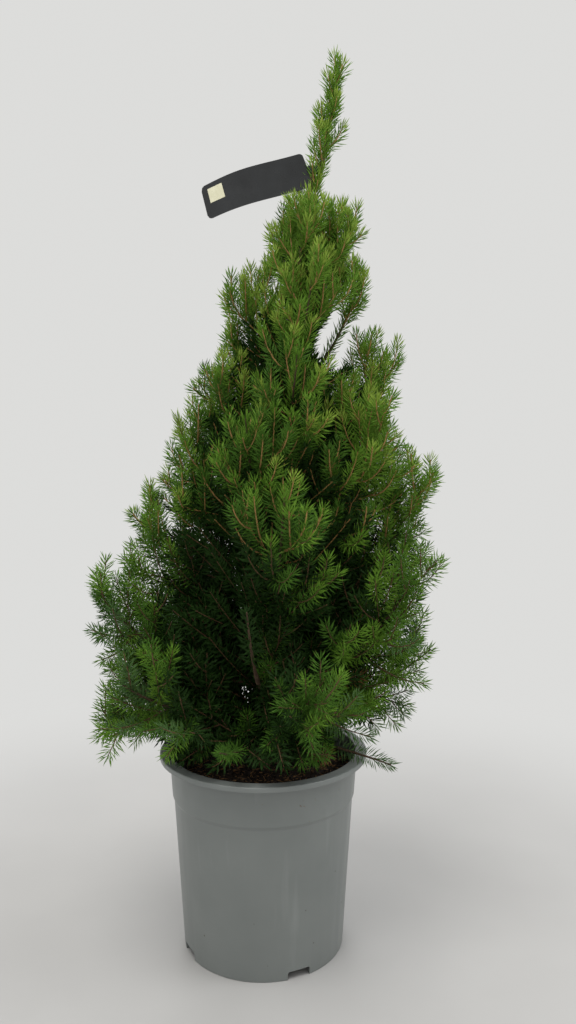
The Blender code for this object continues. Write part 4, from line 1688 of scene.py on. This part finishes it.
def ribbon(name, path, halves, thickness, lift=0.0):
    """A closed flat ribbon along a path, standing upright, lifted towards the front."""
    verts = []
    for i, (point, half) in enumerate(zip(path, halves)):
        tangent = (path[min(i + 1, len(path) - 1)] - path[max(i - 1, 0)]).normalized()
        out = tangent.cross(UP).normalized()
        rise = out.cross(tangent)
        middle = point + out * lift
        for side, edge in ((1, -1), (-1, -1), (-1, 1), (1, 1)):
            verts.append(middle + out * side * thickness / 2 + rise * edge * half)
    obj = mesh_object(name, verts, tube_faces(0, len(path), 4))
    obj.data.set_sharp_from_angle(angle=SHARP_ANGLE)
    return obj


def make_label():
    shares = even(HEAD_STEPS)
    path = [label_point(share) for share in shares]
    halves = [label_half_width(share) for share in shares]
    middle = trunk_point(LABEL_HEIGHT)
    for turned in even(LOOP_STEPS, 0.0, LOOP_TURN)[1:]:
        angle = math.radians(LOOP_START + turned)
        path.append(middle + Vector((math.cos(angle), math.sin(angle), 0.0)) * LOOP_RADIUS)
        halves.append(TAIL_WIDTH / 2)
    return ribbon("label_strip", path, halves, LABEL_THICKNESS)


def make_patch():
    """The plain cream square near the label's free end."""
    path = [label_point(share) + UP * PATCH_RISE for share in even(PATCH_STEPS, *PATCH_SPAN)]
    lift = (LABEL_THICKNESS + PATCH_THICKNESS) / 2
    return ribbon("label_patch", path, [PATCH_HALF] * len(path), PATCH_THICKNESS, lift)


def label_finish():
    finish = Finish("label_plastic", 0.22)
    tone = finish.noise(30.0)
    black = finish.ramp(tone, (0.3, (0.010, 0.011, 0.012)), (0.7, (0.020, 0.022, 0.024)))
    finish.set("Base Color", black)
    finish.set("Roughness", finish.greys(finish.noise(80.0), (0.3, 0.16), (0.7, 0.34)))
    return finish.material


def patch_finish():
    finish = Finish("label_cream", 0.45)
    tone = finish.noise(120.0)
    cream = finish.ramp(tone, (0.3, (0.62, 0.60, 0.42)), (0.7, (0.72, 0.70, 0.52)))
    finish.set("Base Color", cream)
    return finish.material


label_piece = painted(make_label(), label_finish())
patch_piece = painted(make_patch(), patch_finish())
print("label faces:", len(label_piece.data.polygons))

# %% [markdown]
# ## What each piece stands for
# Every piece rides on the one body. The needles stand for the masses of foliage, the
# bark for the trunk and boughs, and the turned shell for the pot. Crumbs, straw and
# twigs stand for no solid, so they replace nothing.

# %% Ride and replace
dressed = [
    (trunk_piece, "bark", ["trunk"]),
    (bough_piece, "bark", boughs),
    (pot_piece, "pot", ["pot"]),
    (soil_piece, "soil", ["soil"]),
    (crumb_piece, "soil", []),
    (litter_piece, "needles", []),
    (label_piece, "label", ["label"]),
    (patch_piece, "label", []),
]
dressed += [(piece, "bark", []) for piece in twig_pieces]
dressed += [(needle_pieces[0], "needles", masses)]
dressed += [(piece, "needles", []) for piece in needle_pieces[1:]]
for piece, slot, replaced in dressed:
    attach(piece, "root")
    if replaced:
        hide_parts(*replaced)
faces = sum(len(piece.data.polygons) for piece, _, _ in dressed)
print("pieces:", len(dressed), "faces:", faces)
